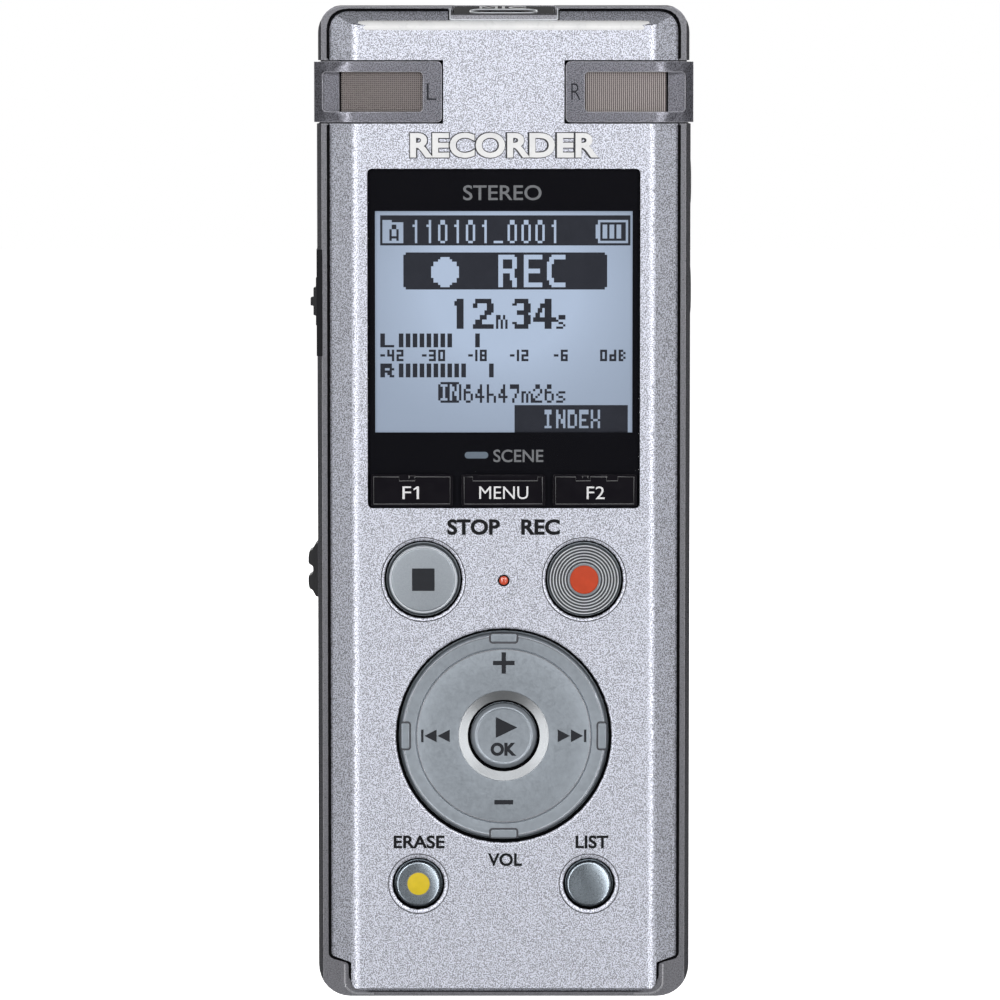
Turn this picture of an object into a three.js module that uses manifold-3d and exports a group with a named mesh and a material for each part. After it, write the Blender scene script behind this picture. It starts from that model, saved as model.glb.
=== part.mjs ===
// A pocket digital dictation recorder: a slim upright case with a display, round transport keys, a
// four-way navigation disc, stereo microphones, a slide-out USB plug and a hinged battery cover.
//
// Millimetres. +Z runs up the case, +X is the user's right, and the display faces -Y.
// The origin is the middle of the flat bottom end.

import * as THREE from "three";
import { mergeVertices } from "three/addons/utils/BufferGeometryUtils.js";
import Module from "manifold-3d";

const wasm = await Module();
wasm.setup();

// ---------------------------------------------------------------- driving dimensions

const GAP = 0.15; // clearance between neighbouring housing pieces
const BEYOND = 30; // how far a cutting tool runs past what it cuts
const ARC_STEPS = 4; // straight steps in each round corner

const CASE = {
  halfWidth: 19.8,
  upperHalfWidth: 19.65, // above the microphones
  front: -5.9,
  back: 7.2,
  top: 105.8,
  topCorner: 2.7,
  bottomCorner: 3.4,
  backEdge: 3,
  wall: 1.2,
  backWall: 1.5,
};
const FRAME = {
  rear: -2.6,
  ledge: -4.2,
  lipEnd: -1.95,
  top: 105.6,
  chamfer: 0.5,
  ledgeWidth: 2.2,
  cornerX: 15.8, // the lower corners are filled from here outward
};
const SHELL_FRONT = -2.4;

const PANEL = {
  halfWidth: 18.45,
  front: -7.2,
  edge: -5.75,
  rear: -4.4,
  flat: 15.4, // half-width of the flat middle
  bottom: 0.75,
  foot: 0.3, // chamfer of the lower edge
  top: 105.1,
  topRail: 1.2, // left solid behind the top bevel
  flatTop: 103.6,
  topCorner: 2.1,
  wall: 0.7,
};
const STEP = { x: 16.3, low: 3.8, high: 4.4, foot: 1.9, footX: 14.6 }; // notched lower corners

const DISPLAY = { halfWidth: 14.45, bottom: 52.5, top: 88.5, split: 56.35, corner: 0.5 };
const LCD_VIEW = { halfWidth: 13.65, bottom: 60.5, top: 84 };
const MASK = { halfWidth: 15.2, bottom: 51.9, top: 89.3, front: -6.38, rear: -6 };
const LCD = { halfWidth: 14.6, bottom: 58.9, top: 86.5, front: -5.85, thickness: 0.9, backlight: 0.8 };

const COUNTERSINK_DEPTH = 0.1;
const ROUND_KEY = { x: 8.55, z: 44.9, radius: 3.85, hole: 4.17, countersink: 4.45 };
const SMALL_KEY = { x: 9.1, z: 12.3, radius: 2.46, hole: 2.8, countersink: 3.15 };
const OK_KEY = { radius: 3.47, flange: 4.6 };
const NAV = { z: 28.2, radius: 11.05, hole: 11.5, countersink: 11.75, flange: 12, dish: 4.75, bore: 3.85 };
const NAV_TAB = { halfWidth: 1.55, from: 9.95, to: 11.02, height: 0.12 };
const NAV_DOME_RADIUS = 8.6;
const GIMBAL = { inner: 5.4, outer: 6.6, front: -5.9, rear: -5.7 };
const LED = { z: 44.8, radius: 0.5 };
const KEY = { face: -7.3, flangeFront: -6.38, flangeRear: -6.08, stemEnd: -5.9, flangeWidth: 0.85 };
const SOFT_KEY = { bottom: 52.7, top: 56.1, face: -7.3, rear: -6.7 };
const SOFT_KEY_EDGES = [-14.1, -5.4, -4.5, 4.4, 5.2, 14.1];

const DOME = { radius: 1.6, top: -5.6, film: -5.46, rear: -5.4 };
const KEY_BOARD = { halfWidth: 17.2, bottom: 5.4, top: 57.6, front: -5.33, rear: -4.73 };
const MAIN_BOARD = { halfWidth: 13.4, bottom: 53.6, top: 92.4, front: -3.3, rear: -2.6 };

const MIC = { outer: 20.1, inner: 6.55, bottom: 93.4, top: 99.8, sideRear: 2.4, corner: 0.5 };
const MIC_WINDOW = { outer: 19.2, inner: 8.55, bottom: 94.5, top: 98.7, floor: -5.3, meshEnd: 17.4 };
const MIC_SEAT = { arm: 17, side: 19.05 }; // how far in the frame makes room for the bezels
const MIC_CAPSULE = { x: 13, radius: 1.9, front: -6.1, rear: -3.6 };
const TOP_MIC = { tab: 5.75, notch: 5.45, halfWidth: 5.3, tabBottom: 104.1, floor: 104.4, rear: 0.85 };

const PORT = { halfWidth: 3.55, front: -5.4, rear: -2.4, radius: 1.45 };

const SIDE_FLOOR = 18; // openings in the sides are cut from here outward
const SIDE_Y = 0.6; // everything on the two sides is centred on this depth
const JACK = { bore: 1.75, face: 20, ringRear: 19.5, bodyInner: 9, boreEnd: 9.8 };
const MIC_JACK = { z: 87, radius: 2.4 };
const EAR_JACK = { z: 75.4, radius: 2.55 };

const HOLD = { z: 74.2, halfLength: 5.7, halfWidth: 1.7, face: 20, travel: 2.2 };
const HOLD_TRACK = { halfLength: 5, halfWidth: 1.2, floor: 19.65 };
const HOLD_STEPS = [
  [2.6, 20.12],
  [1.5, 20.38],
  [0.45, 20.69],
];
const LEVER = { z: 45.4, halfLength: 2.9, halfWidth: 1.75, root: 19.55, crest: 20.97, trackFloor: 19.45 };
const LEVER_STEM = { halfWidth: 0.7, halfLength: 1.4 };
const USB = { x: -8.2, halfWidth: 6, halfHeight: 2.25, wall: 0.3, bottom: 0.6, top: 19.4, travel: 16 };
const CARRIAGE = { bottom: 19.6, top: 42, armTop: 46.8, armEnd: 18.3 };

const BATTERY = { x: 9.6, y: 0.8, radius: 5.2, bottom: 7.2, length: 44.5, nub: 0.8, nubRadius: 1.9 };
const TRAY = { halfWidth: 5.4, bottom: 6, top: 52.4, wall: 0.6, front: -4.5, rear: 5.6 };
const COVER = { halfWidth: 15.3, top: 54, thickness: 0.9, axisY: 6.75, axisZ: 4.85, corner: 1.5 };
const CARD = { halfWidth: 2, top: 71.1, thickness: 1.05, axisX: 19.275, axisZ: 57.825 };
const CARD_SOCKET = { inner: 6.5, outer: 18.3, bottom: 58.9, top: 70.1, halfHeight: 0.95, slot: 0.5 };
const HINGE_PIN = { radius: 0.28, hole: 0.38, length: 0.55 };

const SCREW = { x: 15.2, low: 56.4, high: 102.4, head: 1.3, shank: 0.6, boss: 1.5, bossRear: 5.5 };
const SPEAKER = { z: 80, radius: 7.9, front: 2.9, rear: 5.5 };
const BOSS_WEB = 1.17; // the webs reach this many times as far out as the screws
const GRILLE = { pitch: 2.2, hole: 0.6, reach: 4.9 };

// ---------------------------------------------------------------- materials

const material = (color, roughness, metalness) =>
  new THREE.MeshStandardMaterial({ color, roughness, metalness });

const paint = {
  silver: () => material(0xcbced7, 0.42, 0.55),
  frameGrey: () => material(0x96979f, 0.4, 0.6),
  shellGrey: () => material(0x8a8b93, 0.45, 0.5),
  micGrey: () => material(0x7b7b86, 0.42, 0.5),
  mesh: () => material(0x665f5e, 0.5, 0.8),
  blackGloss: () => material(0x15161b, 0.12, 0),
  blackSatin: () => material(0x2e2d33, 0.45, 0),
  lcd: () => material(0xa5b4c8, 0.3, 0),
  keySteel: () => material(0x9aa1a9, 0.3, 0.85),
  keySatin: () => material(0x979ea6, 0.35, 0.6),
  led: () => material(0xc84632, 0.3, 0),
  nickel: () => material(0xb9bcc2, 0.25, 0.95),
  board: () => material(0x1f5b3a, 0.6, 0),
  clearFilm: () => material(0xd8d8d0, 0.5, 0),
  innerPlastic: () => material(0x55565c, 0.6, 0),
  battery: () => material(0x3b6ea5, 0.35, 0.3),
};

// ---------------------------------------------------------------- solids from three.js geometry

function signedVolume(positions, indices) {
  const [a, b, c] = [new THREE.Vector3(), new THREE.Vector3(), new THREE.Vector3()];
  let sum = 0;
  for (let i = 0; i < indices.length; i += 3) {
    a.fromArray(positions, indices[i] * 3);
    b.fromArray(positions, indices[i + 1] * 3);
    c.fromArray(positions, indices[i + 2] * 3);
    sum += a.dot(b.cross(c));
  }
  return sum / 6;
}

// A closed solid with its faces turned outward, whichever way the geometry was wound.
function solidOf(geometry) {
  const plain = new THREE.BufferGeometry();
  plain.setAttribute("position", geometry.getAttribute("position"));
  if (geometry.index) plain.setIndex(geometry.index);
  const merged = mergeVertices(plain, 1e-4);
  const positions = merged.attributes.position.array;
  const source = merged.index.array;
  const kept = [];
  for (let i = 0; i < source.length; i += 3) {
    const [a, b, c] = [source[i], source[i + 1], source[i + 2]];
    if (a !== b && b !== c && c !== a) kept.push(a, b, c);
  }
  if (signedVolume(positions, kept) < 0) kept.reverse();
  return new wasm.Manifold(
    new wasm.Mesh({ numProp: 3, vertProperties: positions, triVerts: new Uint32Array(kept) }),
  );
}

function geometryOf(solid) {
  const mesh = solid.getMesh();
  const geometry = new THREE.BufferGeometry();
  geometry.setAttribute("position", new THREE.BufferAttribute(new Float32Array(mesh.vertProperties), 3));
  geometry.setIndex(new THREE.BufferAttribute(new Uint32Array(mesh.triVerts), 1));
  geometry.computeVertexNormals();
  return geometry;
}

const cut = (solid, ...tools) => tools.reduce((left, tool) => left.subtract(tool), solid);
const join = (solid, ...others) => others.reduce((left, other) => left.add(other), solid);
const common = (solid, ...others) => others.reduce((left, other) => left.intersect(other), solid);

function mirrored(solid) {
  const geometry = geometryOf(solid);
  geometry.scale(-1, 1, 1);
  return solidOf(geometry);
}

// The plane of a shape extruded along each axis: (x, y) for z, (x, z) for y and (y, z) for x.
const ALONG = {
  x: [new THREE.Vector3(0, 1, 0), new THREE.Vector3(0, 0, 1), new THREE.Vector3(1, 0, 0)],
  y: [new THREE.Vector3(1, 0, 0), new THREE.Vector3(0, 0, 1), new THREE.Vector3(0, -1, 0)],
  z: [new THREE.Vector3(1, 0, 0), new THREE.Vector3(0, 1, 0), new THREE.Vector3(0, 0, 1)],
};

function prism(axis, shape, from, to) {
  const geometry = new THREE.ExtrudeGeometry(shape, {
    depth: to - from,
    bevelEnabled: false,
    curveSegments: ARC_STEPS,
  });
  geometry.applyMatrix4(new THREE.Matrix4().makeBasis(...ALONG[axis]));
  const start = axis === "y" ? to : from;
  geometry.translate(...["x", "y", "z"].map((letter) => (letter === axis ? start : 0)));
  return solidOf(geometry);
}

function polygon(points) {
  return new THREE.Shape(points.map(([u, v]) => new THREE.Vector2(u, v)));
}

function roundRect(u0, v0, u1, v1, radius) {
  const shape = new THREE.Shape();
  shape.absarc(u1 - radius, v0 + radius, radius, -Math.PI / 2, 0);
  shape.absarc(u1 - radius, v1 - radius, radius, 0, Math.PI / 2);
  shape.absarc(u0 + radius, v1 - radius, radius, Math.PI / 2, Math.PI);
  shape.absarc(u0 + radius, v0 + radius, radius, Math.PI, Math.PI * 1.5);
  shape.closePath();
  return shape;
}

function box(x0, x1, y0, y1, z0, z1) {
  const geometry = new THREE.BoxGeometry(x1 - x0, y1 - y0, z1 - z0);
  geometry.translate((x0 + x1) / 2, (y0 + y1) / 2, (z0 + z1) / 2);
  return solidOf(geometry);
}

// A box centred on the case's middle plane.
const midBox = (halfWidth, y0, y1, z0, z1) => box(-halfWidth, halfWidth, y0, y1, z0, z1);

function rod(axis, radius, from, to, [u, v] = [0, 0], segments = 16) {
  const geometry = new THREE.CylinderGeometry(radius, radius, to - from, segments);
  const middle = (from + to) / 2;
  if (axis === "x") geometry.rotateZ(-Math.PI / 2).translate(middle, u, v);
  if (axis === "y") geometry.translate(u, middle, v);
  if (axis === "z") geometry.rotateX(Math.PI / 2).translate(u, v, middle);
  return solidOf(geometry);
}

// A turned piece whose axis runs along Y; its profile is a list of [radius, y] and closes on itself.
function turned(profile, [x, z] = [0, 0], segments = 24) {
  const points = [...profile, profile[0]].map(([radius, y]) => new THREE.Vector2(radius, y));
  return solidOf(new THREE.LatheGeometry(points, segments).translate(x, 0, z));
}

// ---------------------------------------------------------------- shared outlines

// The case from the front, moved inward by inset.
function caseOutline(inset, top) {
  const lower = CASE.halfWidth - inset;
  const upper = CASE.upperHalfWidth - inset;
  const middle = (MIC.bottom + MIC.top) / 2;
  const low = CASE.bottomCorner - inset;
  const high = CASE.topCorner - inset;
  const shape = new THREE.Shape();
  shape.absarc(lower - low, inset + low, low, -Math.PI / 2, 0);
  shape.lineTo(lower, middle);
  shape.lineTo(upper, middle);
  shape.absarc(upper - high, top - inset - high, high, 0, Math.PI / 2);
  shape.absarc(high - upper, top - inset - high, high, Math.PI / 2, Math.PI);
  shape.lineTo(-upper, middle);
  shape.lineTo(-lower, middle);
  shape.absarc(low - lower, inset + low, low, Math.PI, Math.PI * 1.5);
  shape.closePath();
  return shape;
}

// The front panel from the front, moved outward by grow: round at the top, notched at the bottom.
function panelOutline(grow) {
  const half = PANEL.halfWidth + grow;
  const radius = PANEL.topCorner + grow;
  const top = PANEL.top + grow;
  const bottom = PANEL.bottom - grow;
  const shape = new THREE.Shape();
  shape.moveTo(-STEP.footX, bottom);
  shape.lineTo(STEP.footX, bottom);
  shape.quadraticCurveTo(STEP.x + grow, bottom, STEP.x + grow, STEP.foot);
  shape.lineTo(STEP.x + grow, STEP.low - grow);
  shape.lineTo(half, STEP.high - grow);
  shape.absarc(half - radius, top - radius, radius, 0, Math.PI / 2);
  shape.absarc(radius - half, top - radius, radius, Math.PI / 2, Math.PI);
  shape.lineTo(-half, STEP.high - grow);
  shape.lineTo(-STEP.x - grow, STEP.low - grow);
  shape.lineTo(-STEP.x - grow, STEP.foot);
  shape.quadraticCurveTo(-STEP.x - grow, bottom, -STEP.footX, bottom);
  return shape;
}

// The panel's cambered cross-section, moved inward by inset.
function panelSection(inset, rear) {
  const half = PANEL.halfWidth - inset;
  const front = PANEL.front + inset;
  const edge = PANEL.edge + inset / 2;
  const shape = new THREE.Shape();
  shape.moveTo(-half, rear);
  shape.lineTo(-half, edge);
  shape.lineTo(-PANEL.flat - 0.9, front + 0.22);
  shape.quadraticCurveTo(-PANEL.flat - 0.4, front, -PANEL.flat + 0.2, front);
  shape.lineTo(PANEL.flat - 0.2, front);
  shape.quadraticCurveTo(PANEL.flat + 0.4, front, PANEL.flat + 0.9, front + 0.22);
  shape.lineTo(half, edge);
  shape.lineTo(half, rear);
  shape.closePath();
  return shape;
}

// The case's cross-section behind the frame, with round back edges.
function shellSection(inset, front, back) {
  const half = CASE.halfWidth - inset;
  const radius = CASE.backEdge - inset;
  const shape = new THREE.Shape();
  shape.moveTo(-half, front);
  shape.lineTo(half, front);
  shape.absarc(half - radius, back - radius, radius, 0, Math.PI / 2);
  shape.absarc(radius - half, back - radius, radius, Math.PI / 2, Math.PI);
  shape.closePath();
  return shape;
}

// The case's long section: a slightly crowned top end and round back edges.
function shellProfile() {
  const { back, backEdge, top } = CASE;
  const shape = new THREE.Shape();
  shape.moveTo(FRAME.rear, -1);
  shape.lineTo(back - backEdge, -1);
  shape.absarc(back - backEdge, backEdge, backEdge, -Math.PI / 2, 0);
  shape.absarc(back - backEdge, top - backEdge, backEdge, 0, Math.PI / 2);
  shape.lineTo(0, top);
  shape.lineTo(FRAME.rear, top - GAP);
  shape.closePath();
  return shape;
}

const sorted = (a, b) => [Math.min(a, b), Math.max(a, b)];
const bothSides = (solid) => [solid, mirrored(solid)];

// The space that each microphone bezel takes out of its neighbours.
function micNotch(fromX, y0, y1) {
  return bothSides(box(fromX, BEYOND, y0, y1, MIC.bottom - GAP, MIC.top + GAP));
}

// ---------------------------------------------------------------- housing

function keyHole({ hole, countersink }, x, z, segments = 28) {
  const outer = PANEL.front - 1;
  const shoulder = PANEL.front + COUNTERSINK_DEPTH;
  const profile = [
    [0, PANEL.rear],
    [hole, PANEL.rear],
    [hole, shoulder],
    [countersink, PANEL.front],
    [countersink, outer],
    [0, outer],
  ];
  return turned(profile, [x, z], segments);
}

function frontPanel() {
  const { bottom, top, flatTop, front, edge, rear, wall } = PANEL;
  const profile = polygon([
    [rear, bottom],
    [front + PANEL.foot, bottom],
    [front, bottom + PANEL.foot],
    [front, flatTop],
    [edge, top],
    [rear, top],
  ]);
  const blank = common(
    prism("y", panelOutline(0), front, rear),
    prism("z", panelSection(0, rear), 0, BEYOND * 4),
    prism("x", profile, -BEYOND, BEYOND),
  );
  const hollow = prism("z", panelSection(wall, rear + 1), 0, BEYOND * 4);
  const upperHollow = common(hollow, midBox(BEYOND, front, BEYOND, STEP.high + wall, top - PANEL.topRail));
  const footHollow = common(hollow, midBox(STEP.x - wall, front, BEYOND, bottom + wall, BEYOND));
  const displayHole = prism(
    "y",
    roundRect(-DISPLAY.halfWidth, DISPLAY.bottom, DISPLAY.halfWidth, DISPLAY.top, DISPLAY.corner),
    front - 1,
    rear,
  );
  return cut(
    blank,
    upperHollow,
    footHollow,
    displayHole,
    keyHole(ROUND_KEY, ROUND_KEY.x, ROUND_KEY.z),
    keyHole(ROUND_KEY, -ROUND_KEY.x, ROUND_KEY.z),
    keyHole(SMALL_KEY, SMALL_KEY.x, SMALL_KEY.z, 20),
    keyHole(SMALL_KEY, -SMALL_KEY.x, SMALL_KEY.z, 20),
    keyHole(NAV, 0, NAV.z, 48),
    rod("y", LED.radius + GAP, front - 1, rear, [0, LED.z], 12),
    midBox(TOP_MIC.tab + GAP, front - 1, BEYOND, TOP_MIC.tabBottom - 0.05, BEYOND * 4),
    ...micNotch(MIC.inner - GAP, front - 1, BEYOND),
  );
}

function screwPlaces() {
  return [SCREW.low, SCREW.high].flatMap((z) => [-SCREW.x, SCREW.x].map((x) => [x, z]));
}

// The ring between panel and shell. Its ledge and lip close the seams, and its bosses take the screws.
function midFrame() {
  const { front } = CASE;
  const { rear, ledge, lipEnd, top, chamfer, ledgeWidth } = FRAME;
  const whole = prism("y", caseOutline(0, top), front, rear);
  const section = polygon([
    [-CASE.halfWidth, rear],
    [-CASE.halfWidth, front + chamfer],
    [-CASE.halfWidth + chamfer, front],
    [CASE.halfWidth - chamfer, front],
    [CASE.halfWidth, front + chamfer],
    [CASE.halfWidth, rear],
  ]);
  const ring = common(whole, prism("z", section, -BEYOND, BEYOND * 4));
  const panelSeat = prism("y", panelOutline(GAP), front - 1, ledge);
  const lowerCorners = bothSides(box(FRAME.cornerX, BEYOND, front - 1, BEYOND, 0, STEP.high + GAP));
  const opening = cut(prism("y", caseOutline(ledgeWidth, top), front - 1, BEYOND), ...lowerCorners);
  const lip = prism("y", caseOutline(CASE.wall + GAP, top), rear - 0.5, lipEnd);
  const tab = prism(
    "x",
    polygon([
      [-6.7, TOP_MIC.tabBottom],
      [-6.42, TOP_MIC.floor + 0.3],
      [front, top - 0.3],
      [front, top],
      [ledge, top],
      [ledge, TOP_MIC.tabBottom],
    ]),
    -TOP_MIC.tab,
    TOP_MIC.tab,
  );
  const bosses = screwPlaces().map(([x, z]) =>
    join(
      rod("y", SCREW.boss, ledge, SCREW.bossRear, [x, z], 12),
      box(...sorted(x, x * BOSS_WEB), ledge, rear, z - SCREW.boss, z + SCREW.boss),
    ),
  );
  const pilots = screwPlaces().map(([x, z]) => rod("y", SCREW.shank + 0.1, 0, BEYOND, [x, z], 8));
  return cut(
    join(cut(join(ring, lip), panelSeat, opening), tab, ...bosses),
    midBox(TOP_MIC.notch, -6.3, BEYOND, TOP_MIC.floor, BEYOND * 4),
    ...pilots,
    ...micNotch(MIC_SEAT.arm, PANEL.front, ledge - GAP),
    ...micNotch(MIC_SEAT.side, PANEL.front, BEYOND),
  );
}

function speakerHoles() {
  const rows = Math.ceil(GRILLE.reach / GRILLE.pitch);
  const holes = [];
  for (let row = -rows; row <= rows; row++) {
    for (let column = -rows; column <= rows; column++) {
      const x = (column + (row % 2) / 2) * GRILLE.pitch;
      const z = row * GRILLE.pitch * Math.sin(Math.PI / 3);
      if (Math.hypot(x, z) > GRILLE.reach) continue;
      holes.push(rod("y", GRILLE.hole, SPEAKER.rear, BEYOND, [x, SPEAKER.z + z], 8));
    }
  }
  return holes;
}

function sideOpening(side, z0, z1, halfWidth, fromX = SIDE_FLOOR) {
  const solid = box(fromX, BEYOND, SIDE_Y - halfWidth, SIDE_Y + halfWidth, z0, z1);
  return side > 0 ? solid : mirrored(solid);
}

// The battery cover from behind, moved outward by grow: square at its hinge, round at its free end.
function coverOutline(grow) {
  const half = COVER.halfWidth + grow;
  const top = COVER.top + grow;
  const bottom = COVER.axisZ - COVER.thickness / 2 - grow;
  const shape = new THREE.Shape();
  shape.moveTo(-half, bottom);
  shape.lineTo(half, bottom);
  shape.absarc(half - COVER.corner, top - COVER.corner, COVER.corner, 0, Math.PI / 2);
  shape.absarc(COVER.corner - half, top - COVER.corner, COVER.corner, Math.PI / 2, Math.PI);
  shape.closePath();
  return shape;
}

function backShell() {
  const { back, backWall, top, wall } = CASE;
  const blank = common(
    prism("y", caseOutline(0, top + 0.05), SHELL_FRONT, BEYOND),
    prism("z", shellSection(0, FRAME.rear, back), -BEYOND, BEYOND * 4),
    prism("x", shellProfile(), -BEYOND, BEYOND),
  );
  const cavity = common(
    prism("y", caseOutline(wall, top), SHELL_FRONT - 1, back - backWall),
    prism("z", shellSection(wall, SHELL_FRONT - 1, back - backWall), -BEYOND, BEYOND * 4),
  );
  const coverSeat = prism("y", coverOutline(GAP), COVER.axisY - COVER.thickness / 2 - 0.1, BEYOND);
  const batteryHole = box(
    BATTERY.x - TRAY.halfWidth - 0.1,
    BATTERY.x + TRAY.halfWidth + 0.1,
    0,
    BEYOND,
    TRAY.bottom - 0.1,
    TRAY.top + 0.1,
  );
  const coverPins = rod(
    "x",
    HINGE_PIN.hole,
    -COVER.halfWidth - HINGE_PIN.length - GAP,
    COVER.halfWidth + HINGE_PIN.length + GAP,
    [COVER.axisY, COVER.axisZ],
    12,
  );
  const cardPins = rod(
    "y",
    HINGE_PIN.hole,
    SIDE_Y - CARD.halfWidth - HINGE_PIN.length - GAP,
    SIDE_Y + CARD.halfWidth + HINGE_PIN.length + GAP,
    [CARD.axisX, CARD.axisZ],
    12,
  );
  const screwHoles = screwPlaces().map(([x, z]) =>
    join(
      rod("y", SCREW.shank + 0.1, 0, BEYOND, [x, z], 8),
      rod("y", SCREW.head + GAP, back - 0.5, BEYOND, [x, z]),
    ),
  );
  const jackHoles = [MIC_JACK, EAR_JACK].map(({ z, radius }) =>
    rod("x", radius + 0.1, CASE.halfWidth - 2, BEYOND, [SIDE_Y, z], 24),
  );
  const usbMouth = prism(
    "z",
    roundRect(
      USB.x - USB.halfWidth - 0.2,
      SIDE_Y - USB.halfHeight - 0.2,
      USB.x + USB.halfWidth + 0.2,
      SIDE_Y + USB.halfHeight + 0.2,
      0.5,
    ),
    -1,
    wall + 1,
  );
  const stem = LEVER_STEM.halfLength + 0.1;
  return cut(
    blank,
    cavity,
    coverSeat,
    batteryHole,
    coverPins,
    cardPins,
    ...screwHoles,
    ...speakerHoles(),
    ...jackHoles,
    usbMouth,
    sideOpening(1, CARD.axisZ - CARD.thickness / 2 - GAP, CARD.top + GAP, CARD.halfWidth + GAP),
    sideOpening(-1, HOLD.z - HOLD.halfLength - GAP, HOLD.z + HOLD.halfLength + GAP, HOLD.halfWidth + GAP),
    sideOpening(-1, LEVER.z - USB.travel - stem, LEVER.z + stem, LEVER_STEM.halfWidth + GAP),
    sideOpening(
      -1,
      LEVER.z - USB.travel - LEVER.halfLength - GAP,
      LEVER.z + LEVER.halfLength + GAP,
      LEVER.halfWidth + GAP,
      LEVER.trackFloor,
    ),
    midBox(TOP_MIC.notch, SHELL_FRONT - 1, TOP_MIC.rear + GAP, TOP_MIC.floor, BEYOND * 4),
    ...micNotch(MIC_SEAT.side, SHELL_FRONT - 1, MIC.sideRear + GAP),
  );
}

// A door seen edge-on: straight at its free end, round about the hinge axis at the other.
function doorProfile(thickness, axisU, axisV, top) {
  const radius = thickness / 2;
  const shape = new THREE.Shape();
  shape.absarc(axisU, axisV, radius, Math.PI, Math.PI * 2);
  shape.lineTo(axisU + radius, top);
  shape.lineTo(axisU - radius, top);
  shape.closePath();
  return shape;
}

function batteryCover() {
  const { halfWidth, thickness, axisY, axisZ, top } = COVER;
  const plate = prism("x", doorProfile(thickness, axisY, axisZ, top), -halfWidth, halfWidth);
  const reach = halfWidth + HINGE_PIN.length;
  const pin = rod("x", HINGE_PIN.radius, -reach, reach, [axisY, axisZ], 12);
  const ridges = [0, 1, 2, 3, 4].map((i) =>
    midBox(5.5 - i, axisY + thickness / 2 - 0.2, BEYOND, top - 5 - i * 1.2, top - 4.5 - i * 1.2),
  );
  return cut(join(common(plate, prism("y", coverOutline(0), 0, BEYOND)), pin), ...ridges);
}

function cardCover() {
  const { halfWidth, thickness, axisX, axisZ, top } = CARD;
  const plate = prism(
    "y",
    doorProfile(thickness, axisX, axisZ, top),
    SIDE_Y - halfWidth,
    SIDE_Y + halfWidth,
  );
  const pin = rod(
    "y",
    HINGE_PIN.radius,
    SIDE_Y - halfWidth - HINGE_PIN.length,
    SIDE_Y + halfWidth + HINGE_PIN.length,
    [axisX, axisZ],
    12,
  );
  const nailGroove = box(axisX + thickness / 2 - 0.25, BEYOND, -BEYOND, BEYOND, top - 1.1, top - 0.6);
  return cut(join(plate, pin), nailGroove);
}

function screw() {
  const { back } = CASE;
  const head = rod("y", SCREW.head, back - 0.45, back - 0.05);
  const shank = rod("y", SCREW.shank, 1, back - 0.4, [0, 0], 8);
  const slots = [midBox(0.8, back - 0.25, back, -0.15, 0.15), midBox(0.15, back - 0.25, back, -0.8, 0.8)];
  return cut(join(head, shank), ...slots);
}

// ---------------------------------------------------------------- microphones

// The right-hand bezel: bars that follow the panel, a recessed wall, and a plate round the side.
function micBezel() {
  const section = polygon([
    [MIC.inner, -7.4],
    [15.9, -7.4],
    [18.9, -6.05],
    [MIC.outer, -5.1],
    [MIC.outer, MIC.sideRear],
    [MIC.outer - 0.9, MIC.sideRear],
    [MIC.outer - 0.9, -4.6],
    [MIC_WINDOW.meshEnd, -4.6],
    [MIC_WINDOW.meshEnd, -6.1],
    [15.6, -6.6],
    [MIC.inner, -6.6],
  ]);
  const outline = roundRect(MIC.inner, MIC.bottom, BEYOND, MIC.top, MIC.corner);
  const window = roundRect(
    MIC_WINDOW.inner,
    MIC_WINDOW.bottom,
    MIC_WINDOW.outer,
    MIC_WINDOW.top,
    0.4,
  );
  return cut(
    common(prism("z", section, 0, BEYOND * 4), prism("y", outline, PANEL.front - 1, BEYOND)),
    prism("y", window, PANEL.front - 1, MIC_WINDOW.floor),
  );
}

function micMesh() {
  const section = polygon([
    [MIC_WINDOW.inner - 0.3, -6.5],
    [15.55, -6.5],
    [17.2, -6],
    [17.2, -5.8],
    [15.5, -6.3],
    [MIC_WINDOW.inner - 0.3, -6.3],
  ]);
  return prism("z", section, MIC_WINDOW.bottom - 0.4, MIC_WINDOW.top + 0.4);
}

function topPort(margin) {
  const { front, rear } = PORT;
  const halfWidth = PORT.halfWidth - margin;
  return roundRect(-halfWidth, front + margin, halfWidth, rear - margin, PORT.radius - margin);
}

function topMicInsert() {
  const profile = polygon([
    [-6.15, TOP_MIC.floor + GAP],
    [-6.15, 104.8],
    [0.4, 105.7],
    [TOP_MIC.rear, 105.6],
    [TOP_MIC.rear, TOP_MIC.floor + GAP],
  ]);
  const body = prism("x", profile, -TOP_MIC.halfWidth, TOP_MIC.halfWidth);
  return cut(body, prism("z", topPort(0), 0, BEYOND * 4));
}

// ---------------------------------------------------------------- display

function displayWindow() {
  const { halfWidth, split, top, corner } = DISPLAY;
  const outline = roundRect(-halfWidth + 0.05, split, halfWidth - 0.05, top - 0.05, corner);
  return prism("y", outline, PANEL.front + 0.05, MASK.front - 0.05);
}

function softKeyCentres() {
  return [0, 2, 4].map((i) => (SOFT_KEY_EDGES[i] + SOFT_KEY_EDGES[i + 1]) / 2);
}

function displayMask() {
  const { halfWidth, bottom, top, front, rear } = MASK;
  const plate = midBox(halfWidth, front, rear, bottom, top);
  const view = midBox(LCD_VIEW.halfWidth, -BEYOND, BEYOND, LCD_VIEW.bottom, LCD_VIEW.top);
  const middle = (SOFT_KEY.bottom + SOFT_KEY.top) / 2;
  const stems = softKeyCentres().map((x) => rod("y", 1.2, -BEYOND, BEYOND, [x, middle], 12));
  return cut(plate, view, ...stems);
}

function lcdPanel() {
  return midBox(LCD.halfWidth, LCD.front, LCD.front + LCD.thickness, LCD.bottom, LCD.top);
}

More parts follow.
